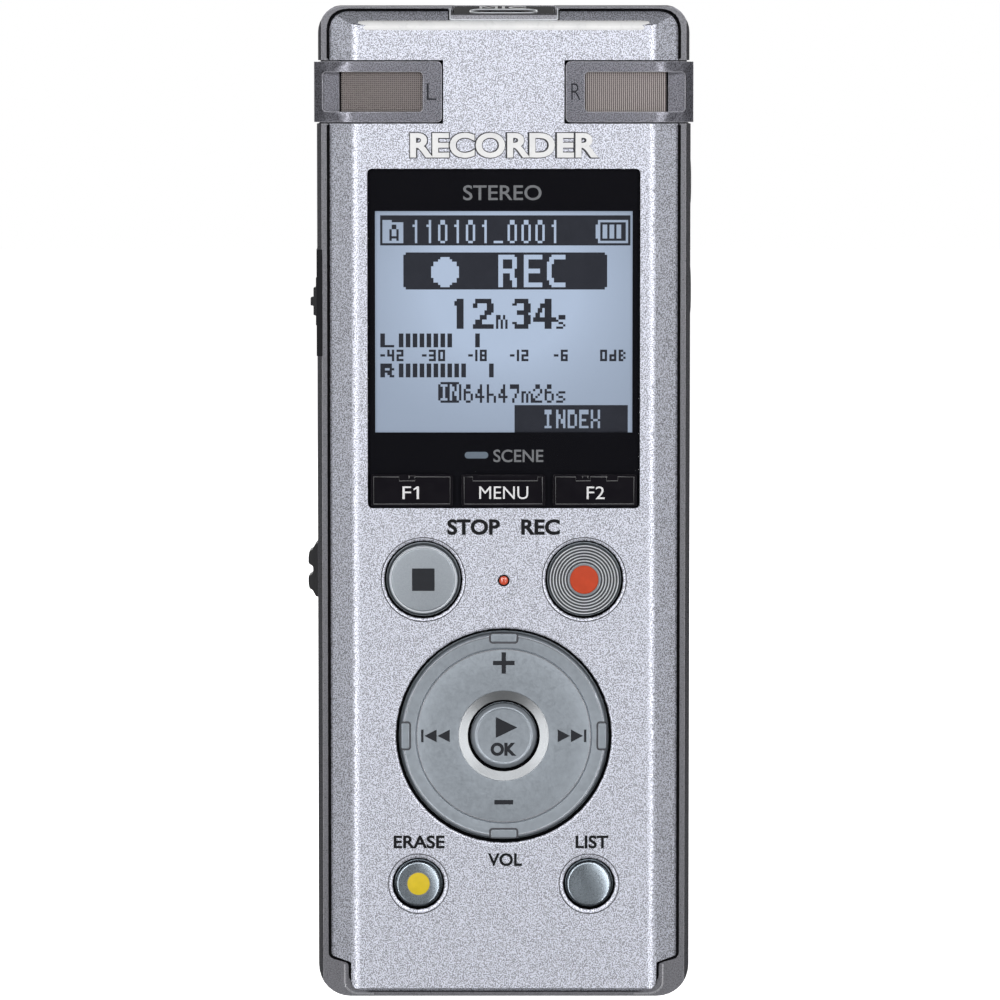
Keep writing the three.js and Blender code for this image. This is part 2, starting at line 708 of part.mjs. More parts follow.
function lcdBacklight() {
  const front = LCD.front + LCD.thickness + 0.05;
  return midBox(LCD.halfWidth, front, front + LCD.backlight, LCD.bottom, LCD.top);
}

// One soft key about its own centre: a flat cap with small ribs on its top edge, and a round stem.
function softKey(width, ribs) {
  const half = width / 2;
  const height = (SOFT_KEY.top - SOFT_KEY.bottom) / 2;
  const cap = prism("y", roundRect(-half, -height, half, height, 0.3), SOFT_KEY.face, SOFT_KEY.rear);
  const stem = rod("y", 1, SOFT_KEY.rear - 0.1, KEY.stemEnd, [0, 0], 12);
  const nubs = ribs.map(([x, halfRib]) =>
    box(x - halfRib, x + halfRib, SOFT_KEY.face - 0.12, SOFT_KEY.rear, height - 0.4, height - 0.1),
  );
  return join(cap, stem, ...nubs);
}

// ---------------------------------------------------------------- keys

// A round key about its own axis: face, sloped rim, skirt, retaining flange and stem.
function roundKey(radius, { flat, dish = 0 }) {
  const { face, flangeFront, flangeRear, stemEnd, flangeWidth } = KEY;
  return turned([
    [0, face + dish],
    [flat, face],
    [radius - 0.15, face + 0.15],
    [radius, face + 0.4],
    [radius, flangeFront],
    [radius + flangeWidth, flangeFront],
    [radius + flangeWidth, flangeRear],
    [1, flangeRear],
    [1, stemEnd],
    [0, stemEnd],
  ]);
}

// The four-way disc: a domed ring with a dished centre, four rim tabs and a wide hidden flange.
function navRing() {
  const { radius, flange, dish, bore } = NAV;
  const disc = turned(
    [
      [bore, KEY.face + 0.5],
      [dish, KEY.face + 0.03],
      [dish + 0.2, KEY.face],
      [radius - 0.3, KEY.face],
      [radius, KEY.face + 0.25],
      [radius, -6.12],
      [flange, -6.12],
      [flange, -5.87],
      [6.9, -5.87],
      [6.9, -6.4],
      [bore, -6.4],
    ],
    [0, 0],
    40,
  );
  const { halfWidth, from, to, height } = NAV_TAB;
  const front = KEY.face - height;
  const tabs = [
    midBox(halfWidth, front, KEY.face + 0.4, from, to),
    midBox(halfWidth, front, KEY.face + 0.4, -to, -from),
    box(from, to, front, KEY.face + 0.4, -halfWidth, halfWidth),
    box(-to, -from, front, KEY.face + 0.4, -halfWidth, halfWidth),
  ];
  const round = rod("y", radius - 0.01, -BEYOND, BEYOND, [0, 0], 40);
  return join(disc, ...tabs.map((tab) => common(tab, round)));
}

function navGimbal() {
  const { inner, outer, front, rear } = GIMBAL;
  return turned([
    [inner, front],
    [outer, front],
    [outer, rear],
    [inner, rear],
  ]);
}

function okKey() {
  const { radius, flange } = OK_KEY;
  return turned([
    [0, KEY.face - 0.02],
    [radius - 0.53, KEY.face - 0.02],
    [radius, KEY.face + 0.2],
    [radius, -6.15],
    [flange, -6.15],
    [flange, -5.9],
    [0, -5.9],
  ]);
}

function domePlaces() {
  const softZ = (SOFT_KEY.bottom + SOFT_KEY.top) / 2;
  const sides = [0, 1, 2, 3].map((i) => {
    const angle = (i * Math.PI) / 2;
    return [Math.cos(angle) * NAV_DOME_RADIUS, NAV.z + Math.sin(angle) * NAV_DOME_RADIUS];
  });
  return [
    [-ROUND_KEY.x, ROUND_KEY.z],
    [ROUND_KEY.x, ROUND_KEY.z],
    [-SMALL_KEY.x, SMALL_KEY.z],
    [SMALL_KEY.x, SMALL_KEY.z],
    [0, NAV.z],
    ...softKeyCentres().map((x) => [x, softZ]),
    ...sides,
  ];
}

// The snap-dome film: one thin sheet with a raised dome under each key.
function domeSheet() {
  const film = midBox(16, DOME.film, DOME.rear, KEY_BOARD.bottom + 1, KEY_BOARD.top - 0.5);
  const profile = [
    [0, DOME.top],
    [DOME.radius, DOME.film],
    [DOME.radius, DOME.rear - 0.01],
    [0, DOME.rear - 0.01],
  ];
  return join(film, ...domePlaces().map((place) => turned(profile, place, 12)));
}

// ---------------------------------------------------------------- sides

function holdPlate() {
  const { z, halfLength, halfWidth, face, travel } = HOLD;
  const plate = box(18.75, face, SIDE_Y - halfWidth, SIDE_Y + halfWidth, z - halfLength, z + halfLength);
  const { halfWidth: half, halfLength: reach, floor } = HOLD_TRACK;
  const groove = box(floor, BEYOND, SIDE_Y - half, SIDE_Y + half, z - reach, z + reach);
  const slot = box(0, BEYOND, SIDE_Y - 0.65, SIDE_Y + 0.65, z - travel - 1.1, z + travel + 1.1);
  return mirrored(cut(plate, groove, slot));
}

function holdKnob() {
  const { z } = HOLD;
  const { halfWidth, floor } = HOLD_TRACK;
  const steps = HOLD_STEPS.map(([halfLength, x]) =>
    box(floor + 0.05, x, SIDE_Y - halfWidth + 0.1, SIDE_Y + halfWidth - 0.1, z - halfLength, z + halfLength),
  );
  const stem = box(17.9, floor + 0.1, SIDE_Y - 0.5, SIDE_Y + 0.5, z - 1, z + 1);
  return mirrored(join(...steps, stem));
}

function holdSwitchBase() {
  const { z, travel } = HOLD;
  const body = box(15.8, 18.5, SIDE_Y - 1.6, SIDE_Y + 1.6, z - 4.2, z + 4.2);
  const slot = box(17.7, BEYOND, SIDE_Y - 0.65, SIDE_Y + 0.65, z - travel - 1.1, z + travel + 1.1);
  return mirrored(cut(body, slot));
}

// The finger pad of the USB slide: two lobes with a notch between, stepping down to both ends.
function usbLever() {
  const { z, root, crest, halfLength, halfWidth } = LEVER;
  const profile = polygon([
    [root, z - halfLength],
    [root + 0.6, z - halfLength],
    [crest - 0.45, z - 2.2],
    [crest - 0.1, z - 2],
    [crest, z - 1.4],
    [crest, z - 0.7],
    [crest - 0.5, z - 0.35],
    [crest - 0.5, z + 0.35],
    [crest, z + 0.7],
    [crest, z + 1.4],
    [crest - 0.1, z + 2],
    [crest - 0.45, z + 2.2],
    [root + 0.6, z + halfLength],
    [root, z + halfLength],
  ]);
  return mirrored(prism("y", profile, SIDE_Y - halfWidth, SIDE_Y + halfWidth));
}

function usbCarriage() {
  const { bottom, top, armTop, armEnd } = CARRIAGE;
  const left = USB.x - USB.halfWidth;
  const [front, rear] = [SIDE_Y - USB.halfHeight, SIDE_Y + USB.halfHeight];
  const block = box(left, USB.x + USB.halfWidth, front, rear, bottom, top);
  const arm = box(-armEnd, USB.x, SIDE_Y - 1.5, SIDE_Y + 1.5, top - 1, armTop);
  const { halfWidth, halfLength } = LEVER_STEM;
  const stem = box(
    -LEVER.root + 0.05,
    -armEnd + 0.1,
    SIDE_Y - halfWidth,
    SIDE_Y + halfWidth,
    LEVER.z - halfLength,
    LEVER.z + halfLength,
  );
  return join(block, arm, stem);
}

function usbSection(inset, radius) {
  const { x, halfWidth, halfHeight } = USB;
  return roundRect(
    x - halfWidth + inset,
    SIDE_Y - halfHeight + inset,
    x + halfWidth - inset,
    SIDE_Y + halfHeight - inset,
    radius,
  );
}

function usbPlugShell() {
  const { x, wall, bottom, top, halfHeight } = USB;
  const tube = cut(
    prism("z", usbSection(0, 0.5), bottom, top),
    prism("z", usbSection(wall, 0.2), bottom - 1, top + 1),
  );
  const latches = [-2.9, 2.9].map((offset) =>
    box(x + offset - 1.25, x + offset + 1.25, SIDE_Y - halfHeight - 1, BEYOND, bottom + 5, bottom + 7.3),
  );
  return cut(tube, ...latches);
}

function usbTongue() {
  const { x, halfWidth, halfHeight, wall, bottom, top } = USB;
  const half = halfWidth - wall - 0.1;
  const rear = SIDE_Y + halfHeight - wall - 0.1;
  return box(x - half, x + half, rear - 1.8, rear, bottom + 0.9, top);
}

function jackRing({ radius, z }) {
  const ring = rod("x", radius, JACK.ringRear, JACK.face, [SIDE_Y, z], 24);
  return cut(ring, rod("x", JACK.bore, 0, BEYOND, [SIDE_Y, z]));
}

function jackBody({ z }) {
  const { bodyInner, ringRear, bore, boreEnd } = JACK;
  const body = box(bodyInner, 18.4, SIDE_Y - 2.4, SIDE_Y + 2.4, z - 2.9, z + 2.9);
  const barrel = rod("x", 2.2, 18, ringRear - 0.05, [SIDE_Y, z]);
  return cut(join(body, barrel), rod("x", bore, boreEnd, BEYOND, [SIDE_Y, z]));
}

function cardSocket() {
  const { inner, outer, bottom, top, halfHeight, slot } = CARD_SOCKET;
  const body = box(inner, outer, SIDE_Y - halfHeight, SIDE_Y + halfHeight, bottom, top);
  return cut(body, box(inner + 1, BEYOND, SIDE_Y - slot, SIDE_Y + slot, bottom + 0.4, top - 0.4));
}

// ---------------------------------------------------------------- inside

function keyBoard() {
  const { halfWidth, front, rear, bottom, top } = KEY_BOARD;
  return midBox(halfWidth, front, rear, bottom, top);
}

function mainBoard() {
  const { halfWidth, front, rear, bottom, top } = MAIN_BOARD;
  return midBox(halfWidth, front, rear, bottom, top);
}

function shieldCan() {
  return box(-12, 4.5, MAIN_BOARD.rear + 0.05, MAIN_BOARD.rear + 1.4, 57, 70);
}

function batteryTray() {
  const { halfWidth, bottom, top, wall, front, rear } = TRAY;
  const outside = [-halfWidth - wall, halfWidth + wall, front, rear, bottom - wall, top + wall];
  return cut(box(...outside), box(-halfWidth, halfWidth, -BEYOND, BEYOND, bottom, top));
}

function battery() {
  const { radius, bottom, length, nub, nubRadius } = BATTERY;
  const top = bottom + length;
  const body = new THREE.LatheGeometry(
    [
      [0, bottom],
      [radius - 0.3, bottom],
      [radius, bottom + 0.3],
      [radius, top - nub - 0.3],
      [radius - 0.3, top - nub],
      [nubRadius, top - nub],
      [nubRadius, top],
      [0, top],
    ].map(([r, z]) => new THREE.Vector2(r, z)),
    20,
  );
  return solidOf(body.rotateX(Math.PI / 2));
}

function batteryContact() {
  const top = BATTERY.bottom + BATTERY.length;
  return midBox(3, -3, 3, top + 0.1, top + 0.35);
}

// The negative contact: a short conical wire spring.
function batterySpring() {
  const turns = 2;
  const wire = 0.18;
  const [low, high] = [TRAY.bottom + wire + 0.05, BATTERY.bottom - wire - 0.05];
  const points = [];
  for (let i = 0; i <= turns * 12; i++) {
    const share = i / (turns * 12);
    const angle = share * turns * Math.PI * 2;
    const radius = 3.4 - 1.8 * share;
    points.push(
      new THREE.Vector3(Math.cos(angle) * radius, Math.sin(angle) * radius, low + (high - low) * share),
    );
  }
  const section = new THREE.Shape();
  section.absarc(0, 0, wire, 0, Math.PI * 2);
  return solidOf(
    new THREE.ExtrudeGeometry(section, {
      extrudePath: new THREE.CatmullRomCurve3(points),
      steps: turns * 14,
      curveSegments: 3,
    }),
  );
}

// ---------------------------------------------------------------- assembly

const recorder = new THREE.Group();

function add(name, solid, look, [x, y, z] = [0, 0, 0]) {
  const mesh = new THREE.Mesh(geometryOf(solid), look);
  mesh.name = name;
  mesh.position.set(x, y, z);
  recorder.add(mesh);
}

function addHousing() {
  add("front_panel", frontPanel(), paint.silver());
  add("mid_frame", midFrame(), paint.frameGrey());
  add("back_shell", backShell(), paint.shellGrey());
  add("battery_cover", batteryCover(), paint.shellGrey());
  add("card_cover", cardCover(), paint.shellGrey());
  screwPlaces().forEach(([x, z], i) => add(`screw_${i + 1}`, screw(), paint.nickel(), [x, 0, z]));
}

function addMicrophones() {
  add("mic_bezel_right", micBezel(), paint.micGrey());
  add("mic_bezel_left", mirrored(micBezel()), paint.micGrey());
  add("mic_mesh_right", micMesh(), paint.mesh());
  add("mic_mesh_left", mirrored(micMesh()), paint.mesh());
  const { x, radius, front, rear } = MIC_CAPSULE;
  const middle = (MIC.bottom + MIC.top) / 2;
  add("mic_capsule_right", rod("y", radius, front, rear), paint.nickel(), [x, 0, middle]);
  add("mic_capsule_left", rod("y", radius, front, rear), paint.nickel(), [-x, 0, middle]);
  add("top_mic_insert", topMicInsert(), paint.blackSatin());
  add("top_mic_mesh", prism("z", topPort(0.1), 104.6, 104.75), paint.mesh());
  add("top_mic_capsule", rod("z", 1.9, 100.2, 103.1), paint.nickel(), [0, -2.2, 0]);
}

function addDisplay() {
  add("display_window", displayWindow(), paint.blackGloss());
  add("display_mask", displayMask(), paint.blackSatin());
  add("lcd_panel", lcdPanel(), paint.lcd());
  add("lcd_backlight", lcdBacklight(), paint.clearFilm());
}

function addKeys() {
  const softZ = (SOFT_KEY.bottom + SOFT_KEY.top) / 2;
  const ribs = { f1: [[0, 0.35]], menu: [[0, 2.6]], f2: [[-1, 0.35], [1, 0.35]] };
  softKeyCentres().forEach((x, i) => {
    const name = ["f1", "menu", "f2"][i];
    const width = SOFT_KEY_EDGES[i * 2 + 1] - SOFT_KEY_EDGES[i * 2];
    add(`soft_key_${name}`, softKey(width, ribs[name]), paint.blackGloss(), [x, 0, softZ]);
  });
  const large = { flat: 3.3 };
  add("stop_button", roundKey(ROUND_KEY.radius, large), paint.keySteel(), [-ROUND_KEY.x, 0, ROUND_KEY.z]);
  add("rec_button", roundKey(ROUND_KEY.radius, large), paint.keySteel(), [ROUND_KEY.x, 0, ROUND_KEY.z]);
  const small = { flat: 2.05, dish: 0.18 };
  add("erase_button", roundKey(SMALL_KEY.radius, small), paint.keySteel(), [-SMALL_KEY.x, 0, SMALL_KEY.z]);
  add("list_button", roundKey(SMALL_KEY.radius, small), paint.keySteel(), [SMALL_KEY.x, 0, SMALL_KEY.z]);
  add("nav_ring", navRing(), paint.keySatin(), [0, 0, NAV.z]);
  add("nav_gimbal", navGimbal(), paint.innerPlastic(), [0, 0, NAV.z]);
  add("ok_button", okKey(), paint.keySatin(), [0, 0, NAV.z]);
  add("led_lens", rod("y", LED.radius, PANEL.front, -5.6, [0, 0], 12), paint.led(), [0, 0, LED.z]);
}

function addSides() {
  add("hold_switch_plate", holdPlate(), paint.blackSatin());
  add("hold_switch_knob", holdKnob(), paint.blackSatin());
  add("hold_switch_base", holdSwitchBase(), paint.nickel());
  add("usb_lever", usbLever(), paint.blackSatin());
  add("usb_carriage", usbCarriage(), paint.innerPlastic());
  add("usb_plug_shell", usbPlugShell(), paint.nickel());
  add("usb_tongue", usbTongue(), paint.blackSatin());
  add("mic_jack_ring", jackRing(MIC_JACK), paint.nickel());
  add("ear_jack_ring", jackRing(EAR_JACK), paint.nickel());
  add("mic_jack_body", jackBody(MIC_JACK), paint.blackSatin());
  add("ear_jack_body", jackBody(EAR_JACK), paint.blackSatin());
  add("card_socket", cardSocket(), paint.nickel());
}

function addInside() {
  add("key_board", keyBoard(), paint.board());
  add("dome_sheet", domeSheet(), paint.clearFilm());
  add("main_board", mainBoard(), paint.board());
  add("shield_can", shieldCan(), paint.nickel());
  const { z, radius, front, rear } = SPEAKER;
  add("speaker", rod("y", radius, front, rear, [0, 0], 24), paint.blackSatin(), [0, 0, z]);
  const bay = [BATTERY.x, 0, 0];
  const axis = [BATTERY.x, BATTERY.y, 0];
  add("battery_tray", batteryTray(), paint.innerPlastic(), bay);
  add("battery", battery(), paint.battery(), axis);
  add("battery_contact", batteryContact(), paint.nickel(), axis);
  add("battery_spring", batterySpring(), paint.nickel(), axis);
}

addHousing();
addMicrophones();
addDisplay();
addKeys();
addSides();
addInside();

export default recorder;
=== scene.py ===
import math

import bmesh
import bpy
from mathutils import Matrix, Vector


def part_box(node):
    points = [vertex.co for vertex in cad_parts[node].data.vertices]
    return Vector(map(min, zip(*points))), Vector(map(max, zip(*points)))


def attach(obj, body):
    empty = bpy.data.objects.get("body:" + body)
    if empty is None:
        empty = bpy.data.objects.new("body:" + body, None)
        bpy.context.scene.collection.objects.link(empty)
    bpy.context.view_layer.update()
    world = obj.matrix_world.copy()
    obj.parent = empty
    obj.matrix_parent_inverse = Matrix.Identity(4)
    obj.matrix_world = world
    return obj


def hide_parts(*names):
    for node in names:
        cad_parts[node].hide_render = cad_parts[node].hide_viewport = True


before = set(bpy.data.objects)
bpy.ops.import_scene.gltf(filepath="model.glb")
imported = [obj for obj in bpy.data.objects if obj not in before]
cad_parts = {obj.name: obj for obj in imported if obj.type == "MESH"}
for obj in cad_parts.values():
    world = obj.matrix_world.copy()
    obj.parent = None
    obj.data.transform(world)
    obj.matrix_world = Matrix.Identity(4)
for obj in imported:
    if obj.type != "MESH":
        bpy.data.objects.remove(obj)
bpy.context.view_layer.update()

MM = 0.001

# ---- places (mm), some read from the CAD nodes


def span(node, axis):
    """The lowest and highest coordinate of a CAD node along one axis, in millimetres."""
    low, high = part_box(node)
    return low[axis] / MM, high[axis] / MM


def centre(node, axis):
    low, high = span(node, axis)
    return (low + high) / 2


X, Y, Z = 0, 1, 2
FRAME_FRONT = -5.9
TAB_REACH = 5.9  # half the width of the tab in front of the top microphone
SIDE_Y = 0.6  # the depth at which the side fittings are centred
LEFT_FACE, RIGHT_FACE = 19.88, 19.8  # how far out the faces that carry the side words lie
MIC_SPAN = (93.4, 99.8)  # the heights between which the microphone bezels cover the gap
MESH_BEND = 15.5  # where the microphone mesh turns back towards the side
PANEL_FRONT = span("front_panel", Y)[0]
KEY_FACE = span("stop_button", Y)[0]
STOP_AT = (centre("stop_button", X), centre("stop_button", Z))
REC_AT = (centre("rec_button", X), centre("rec_button", Z))
ERASE_AT = (centre("erase_button", X), centre("erase_button", Z))
LIST_AT = (centre("list_button", X), centre("list_button", Z))
NAV_AT = (0, centre("ok_button", Z))
LED_AT = (0, centre("led_lens", Z))
LCD_FRONT = span("lcd_panel", Y)[0]
UNDER_GLASS = -6.4  # the depth of the words printed behind the window

# Radii of the round keys and of the holes that they stand in.
KEY_RADIUS, KEY_HOLE = 3.85, 4.17  # STOP and REC
SMALL_RADIUS, SMALL_HOLE = 2.46, 2.8  # ERASE and LIST
OK_RADIUS, OK_HOLE = 3.47, 3.85
NAV_RADIUS, NAV_HOLE = 11.05, 11.5
SHELF = -6.45  # the depth of the black shelf round a key
STEM_END = -5.9

# ---- materials


def new_material(name, colour, metallic=0.0, roughness=0.5, coat=0.0):
    mat = bpy.data.materials.new(name)
    mat.use_nodes = True
    shader = mat.node_tree.nodes["Principled BSDF"]
    shader.inputs["Base Color"].default_value = (*colour, 1)
    shader.inputs["Metallic"].default_value = metallic
    shader.inputs["Roughness"].default_value = roughness
    shader.inputs["Coat Weight"].default_value = coat
    shader.inputs["Coat Roughness"].default_value = 0.1
    return mat, mat.node_tree, shader


def noise(tree, scale, detail=2.0):
    """Noise in object space. scale is in features a millimetre."""
    coords = tree.nodes.new("ShaderNodeTexCoord")
    texture = tree.nodes.new("ShaderNodeTexNoise")
    texture.inputs["Scale"].default_value = scale / MM
    texture.inputs["Detail"].default_value = detail
    tree.links.new(coords.outputs["Object"], texture.inputs["Vector"])
    return texture.outputs["Fac"]


def ramp(tree, source, stops):
    node = tree.nodes.new("ShaderNodeValToRGB")
    elements = node.color_ramp.elements
    while len(elements) < len(stops):
        elements.new(0.5)
    for element, (place, colour) in zip(elements, stops):
        element.position = place
        element.color = (*colour, 1)
    tree.links.new(source, node.inputs["Fac"])
    return node.outputs["Color"]


def shade(colour, factor):
    return tuple(min(1.0, c * factor) for c in colour)


def bump(tree, shader, source, strength, distance):
    node = tree.nodes.new("ShaderNodeBump")
    node.inputs["Strength"].default_value = strength
    node.inputs["Distance"].default_value = distance * MM
    tree.links.new(source, node.inputs["Height"])
    tree.links.new(node.outputs["Normal"], shader.inputs["Normal"])


def roughness_from(tree, shader, source, low, high):
    node = tree.nodes.new("ShaderNodeMapRange")
    node.inputs["From Min"].default_value = 0.3
    node.inputs["From Max"].default_value = 0.7
    node.inputs["To Min"].default_value = low
    node.inputs["To Max"].default_value = high
    tree.links.new(source, node.inputs["Value"])
    tree.links.new(node.outputs["Result"], shader.inputs["Roughness"])


def sparkle_paint(name, colour, contrast, metallic, roughness):
    """Metallic paint: fine bright and dark flakes over an even ground."""
    mat, tree, shader = new_material(name, colour, metallic, roughness)
    grain = 8.5
    flakes = noise(tree, grain, detail=0.0)
    stops = [
        (0.38, shade(colour, 1 - contrast)),
        (0.5, colour),
        (0.62, shade(colour, 1 + contrast * 0.5)),
    ]
    tree.links.new(ramp(tree, flakes, stops), shader.inputs["Base Color"])
    roughness_from(tree, shader, noise(tree, grain * 0.7), roughness - 0.05, roughness + 0.05)
    bump(tree, shader, flakes, 0.1, 0.006)
    return mat


def plastic(name, colour, roughness, grain=3.0, relief=0.15, coat=0.0, metallic=0.0, gloss=0.5):
    """Moulded plastic: faint mottling, uneven gloss and a fine surface texture."""
    mat, tree, shader = new_material(name, colour, metallic, roughness, coat)
    shader.inputs["Specular IOR Level"].default_value = gloss
    mottle = noise(tree, grain * 0.25, detail=3.0)
    stops = [(0.3, shade(colour, 0.94)), (0.7, shade(colour, 1.06))]
    tree.links.new(ramp(tree, mottle, stops), shader.inputs["Base Color"])
    fine = noise(tree, grain)
    roughness_from(tree, shader, fine, roughness * 0.85, min(1.0, roughness * 1.15))
    bump(tree, shader, fine, relief, 0.01)
    return mat


def metal(name, colour, roughness, grain=4.0, relief=0.1, metallic=1.0):
    """Bare metal with fine marks, which vary its shade and its gloss."""
    mat, tree, shader = new_material(name, colour, metallic, roughness)
    marks = noise(tree, grain, detail=3.0)
    stops = [(0.3, shade(colour, 0.92)), (0.7, shade(colour, 1.06))]
    tree.links.new(ramp(tree, marks, stops), shader.inputs["Base Color"])
    roughness_from(tree, shader, marks, roughness * 0.92, roughness * 1.08)
    bump(tree, shader, marks, relief, 0.006)
    return mat


def ink(name, colour):
    """Printed ink: nearly flat, with slight unevenness in its coverage."""
    return plastic(name, colour, 0.45, grain=6.0, relief=0.03, gloss=0.15)


def lit_display(name, colour, strength):
    """The lit ground of the display: a soft glow that falls off towards its edges, the falloff being
    painted shade from the mask round it.
    """
    mat, tree, shader = new_material(name, shade(colour, 0.5))
    low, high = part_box("lcd_panel")
    middle = (low + high) / 2
    glow_height = 75.5 * MM
    glow_reach = (21 * MM, 1, 18.5 * MM)
    coords = tree.nodes.new("ShaderNodeTexCoord")
    mapping = tree.nodes.new("ShaderNodeMapping")
    mapping.vector_type = "TEXTURE"
    mapping.inputs["Location"].default_value = (middle.x, middle.y, glow_height)
    mapping.inputs["Scale"].default_value = glow_reach
    gradient = tree.nodes.new("ShaderNodeTexGradient")
    gradient.gradient_type = "QUADRATIC_SPHERE"
    tree.links.new(coords.outputs["Object"], mapping.inputs["Vector"])
    tree.links.new(mapping.outputs["Vector"], gradient.inputs["Vector"])
    # Darker towards the edges: painted shade from the mask.
    glow_with_edge_shade = ramp(tree, gradient.outputs["Fac"], [(0.0, shade(colour, 0.6)), (0.4, colour)])
    tree.links.new(glow_with_edge_shade, shader.inputs["Emission Color"])
    shader.inputs["Emission Strength"].default_value = strength
    return mat


def clear_window(name):
    """The display's clear window: tinted, glossy and faintly smudged."""
    mat, tree, shader = new_material(name, (0.004, 0.004, 0.006), 0.0, 0.03)
    shader.inputs["IOR"].default_value = 1.45
    shader.inputs["Alpha"].default_value = 0.1
    roughness_from(tree, shader, noise(tree, 0.4, detail=3.0), 0.02, 0.06)
    return mat


SILVER = (0.595, 0.61, 0.69)
MAT = {
    "silver": sparkle_paint("silver_paint", SILVER, 0.54, metallic=0.6, roughness=0.38),
    "frame": sparkle_paint("frame_paint", (0.215, 0.215, 0.235), 0.2, metallic=0.8, roughness=0.32),
    "shell": sparkle_paint("shell_paint", (0.26, 0.26, 0.285), 0.15, metallic=0.6, roughness=0.4),
    "mic": sparkle_paint("mic_paint", (0.195, 0.195, 0.225), 0.5, metallic=0.7, roughness=0.32),
    # A lighter copy of the microphone paint, for painted highlights on rounded edges and on the top
    # tab.
    "mic_edge_highlight": sparkle_paint("mic_edge_highlight", (0.62, 0.62, 0.68), 0.2, metallic=0.3, roughness=0.3),
    # A lighter copy of the frame paint, for painted highlights on edges, ridges and rims.
    "frame_edge_highlight": sparkle_paint("frame_edge_highlight", (0.5, 0.5, 0.53), 0.1, metallic=0.4, roughness=0.3),
    "mesh": metal("mesh_wire", (0.46, 0.41, 0.4), 0.45, metallic=0.6),
    "cloth": plastic("mesh_cloth", (0.03, 0.027, 0.026), 0.8, gloss=0.1),
    # Black put in the gaps round the keys and round the panel, as painted shade.
    "gap": plastic("black_gap_shade", (0.004, 0.004, 0.005), 0.8, gloss=0.05),
    "gloss": plastic("black_gloss", (0.006, 0.005, 0.008), 0.16, grain=1.0, relief=0.01, gloss=0.3),
    # A lighter rim on the black soft keys, as painted highlight.
    "edge": plastic("black_edge_highlight", (0.15, 0.15, 0.155), 0.3, grain=1.0, relief=0.01),
    "satin": plastic("black_satin", (0.018, 0.018, 0.021), 0.42, grain=6.0, gloss=0.35),
    "mask": plastic("mask_black", (0.0065, 0.0065, 0.0095), 0.5, grain=0.5, relief=0.0, gloss=0.03),
    "window": clear_window("window_clear"),
    "lcd": lit_display("lcd_ground", (0.36, 0.44, 0.575), 1.05),
    "lcd_dark": plastic("lcd_dot", (0.048, 0.052, 0.068), 0.5, gloss=0.05),
    "diffuser": plastic("diffuser_milk", (0.7, 0.72, 0.72), 0.5),
    "steel": metal("key_steel", (0.325, 0.355, 0.39), 0.36, grain=9.0, relief=0.02, metallic=0.7),
    "mirror": metal("key_mirror", (0.25, 0.285, 0.32), 0.28, grain=9.0, relief=0.004),
    "dish": metal("dish_satin", (0.26, 0.27, 0.28), 0.32, grain=9.0, relief=0.004, metallic=0.85),
    "key": plastic("key_satin", (0.31, 0.345, 0.385), 0.34, grain=5.0, metallic=0.45),
    "nickel": metal("nickel_plate", (0.6, 0.61, 0.63), 0.22),
    "board": plastic("board_green", (0.015, 0.09, 0.04), 0.45),
    "film": plastic("dome_film", (0.55, 0.55, 0.5), 0.4),
    "inner": plastic("inner_grey", (0.07, 0.07, 0.08), 0.55),
    "sleeve": plastic("cell_sleeve", (0.04, 0.14, 0.36), 0.3, coat=0.4, metallic=0.3),
    "led": plastic("led_red", (0.7, 0.09, 0.04), 0.18, grain=2.0, relief=0.02, coat=0.8),
    "rec_red": plastic("rec_red", (0.6, 0.07, 0.025), 0.45, grain=5.0, relief=0.02, gloss=0.15),
    "yellow": plastic("erase_yellow", (0.78, 0.58, 0.03), 0.45, grain=5.0, relief=0.02, gloss=0.15),
    # Dark wires laid in creases, grooves and round raised marks, as painted shade.
    "line": plastic("painted_crease_shade", (0.09, 0.09, 0.1), 0.6, gloss=0.1),
    "ink_dark": ink("ink_dark", (0.004, 0.004, 0.006)),
    "ink_symbol": ink("ink_symbol", (0.022, 0.024, 0.03)),
    "ink_white": ink("ink_white", (0.86, 0.86, 0.87)),
    "ink_grey": ink("ink_grey", (0.3, 0.31, 0.33)),
    "ink_blue": ink("ink_blue", (0.24, 0.3, 0.37)),
    # White of the title, and of the panel's crest bead as painted highlight.
    "title": plastic("title_white_and_crest_highlight", (0.95, 0.95, 0.96), 0.3, grain=2.0, relief=0.02),
    "title_edge": ink("title_edge", (0.05, 0.05, 0.06)),
    # White plastic of the plug's tongue, and of wires laid on as painted highlights.
    "white": plastic("white_plastic_and_highlight", (0.8, 0.83, 0.87), 0.4),
}

# ---- mesh helpers


def add_piece(name, mesh, material, body="case", replaces=(), smooth=35):
    """A finished piece: material, smooth shading with sharp creases, and its body."""
    piece = bpy.data.objects.new(name, mesh)
    bpy.context.scene.collection.objects.link(piece)
    mesh.materials.append(MAT[material])
    mesh.shade_smooth()
    mesh.set_sharp_from_angle(angle=math.radians(smooth))
    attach(piece, body)
    if replaces:
        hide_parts(*replaces)
    return piece


def mesh_from(name, build):
    """A mesh made by build(bm), which works in millimetres."""
    bm = bmesh.new()
    build(bm)
    bmesh.ops.scale(bm, vec=(MM, MM, MM), verts=bm.verts)
    bmesh.ops.recalc_face_normals(bm, faces=bm.faces)
    mesh = bpy.data.meshes.new(name)
    bm.to_mesh(mesh)
    bm.free()
    return mesh


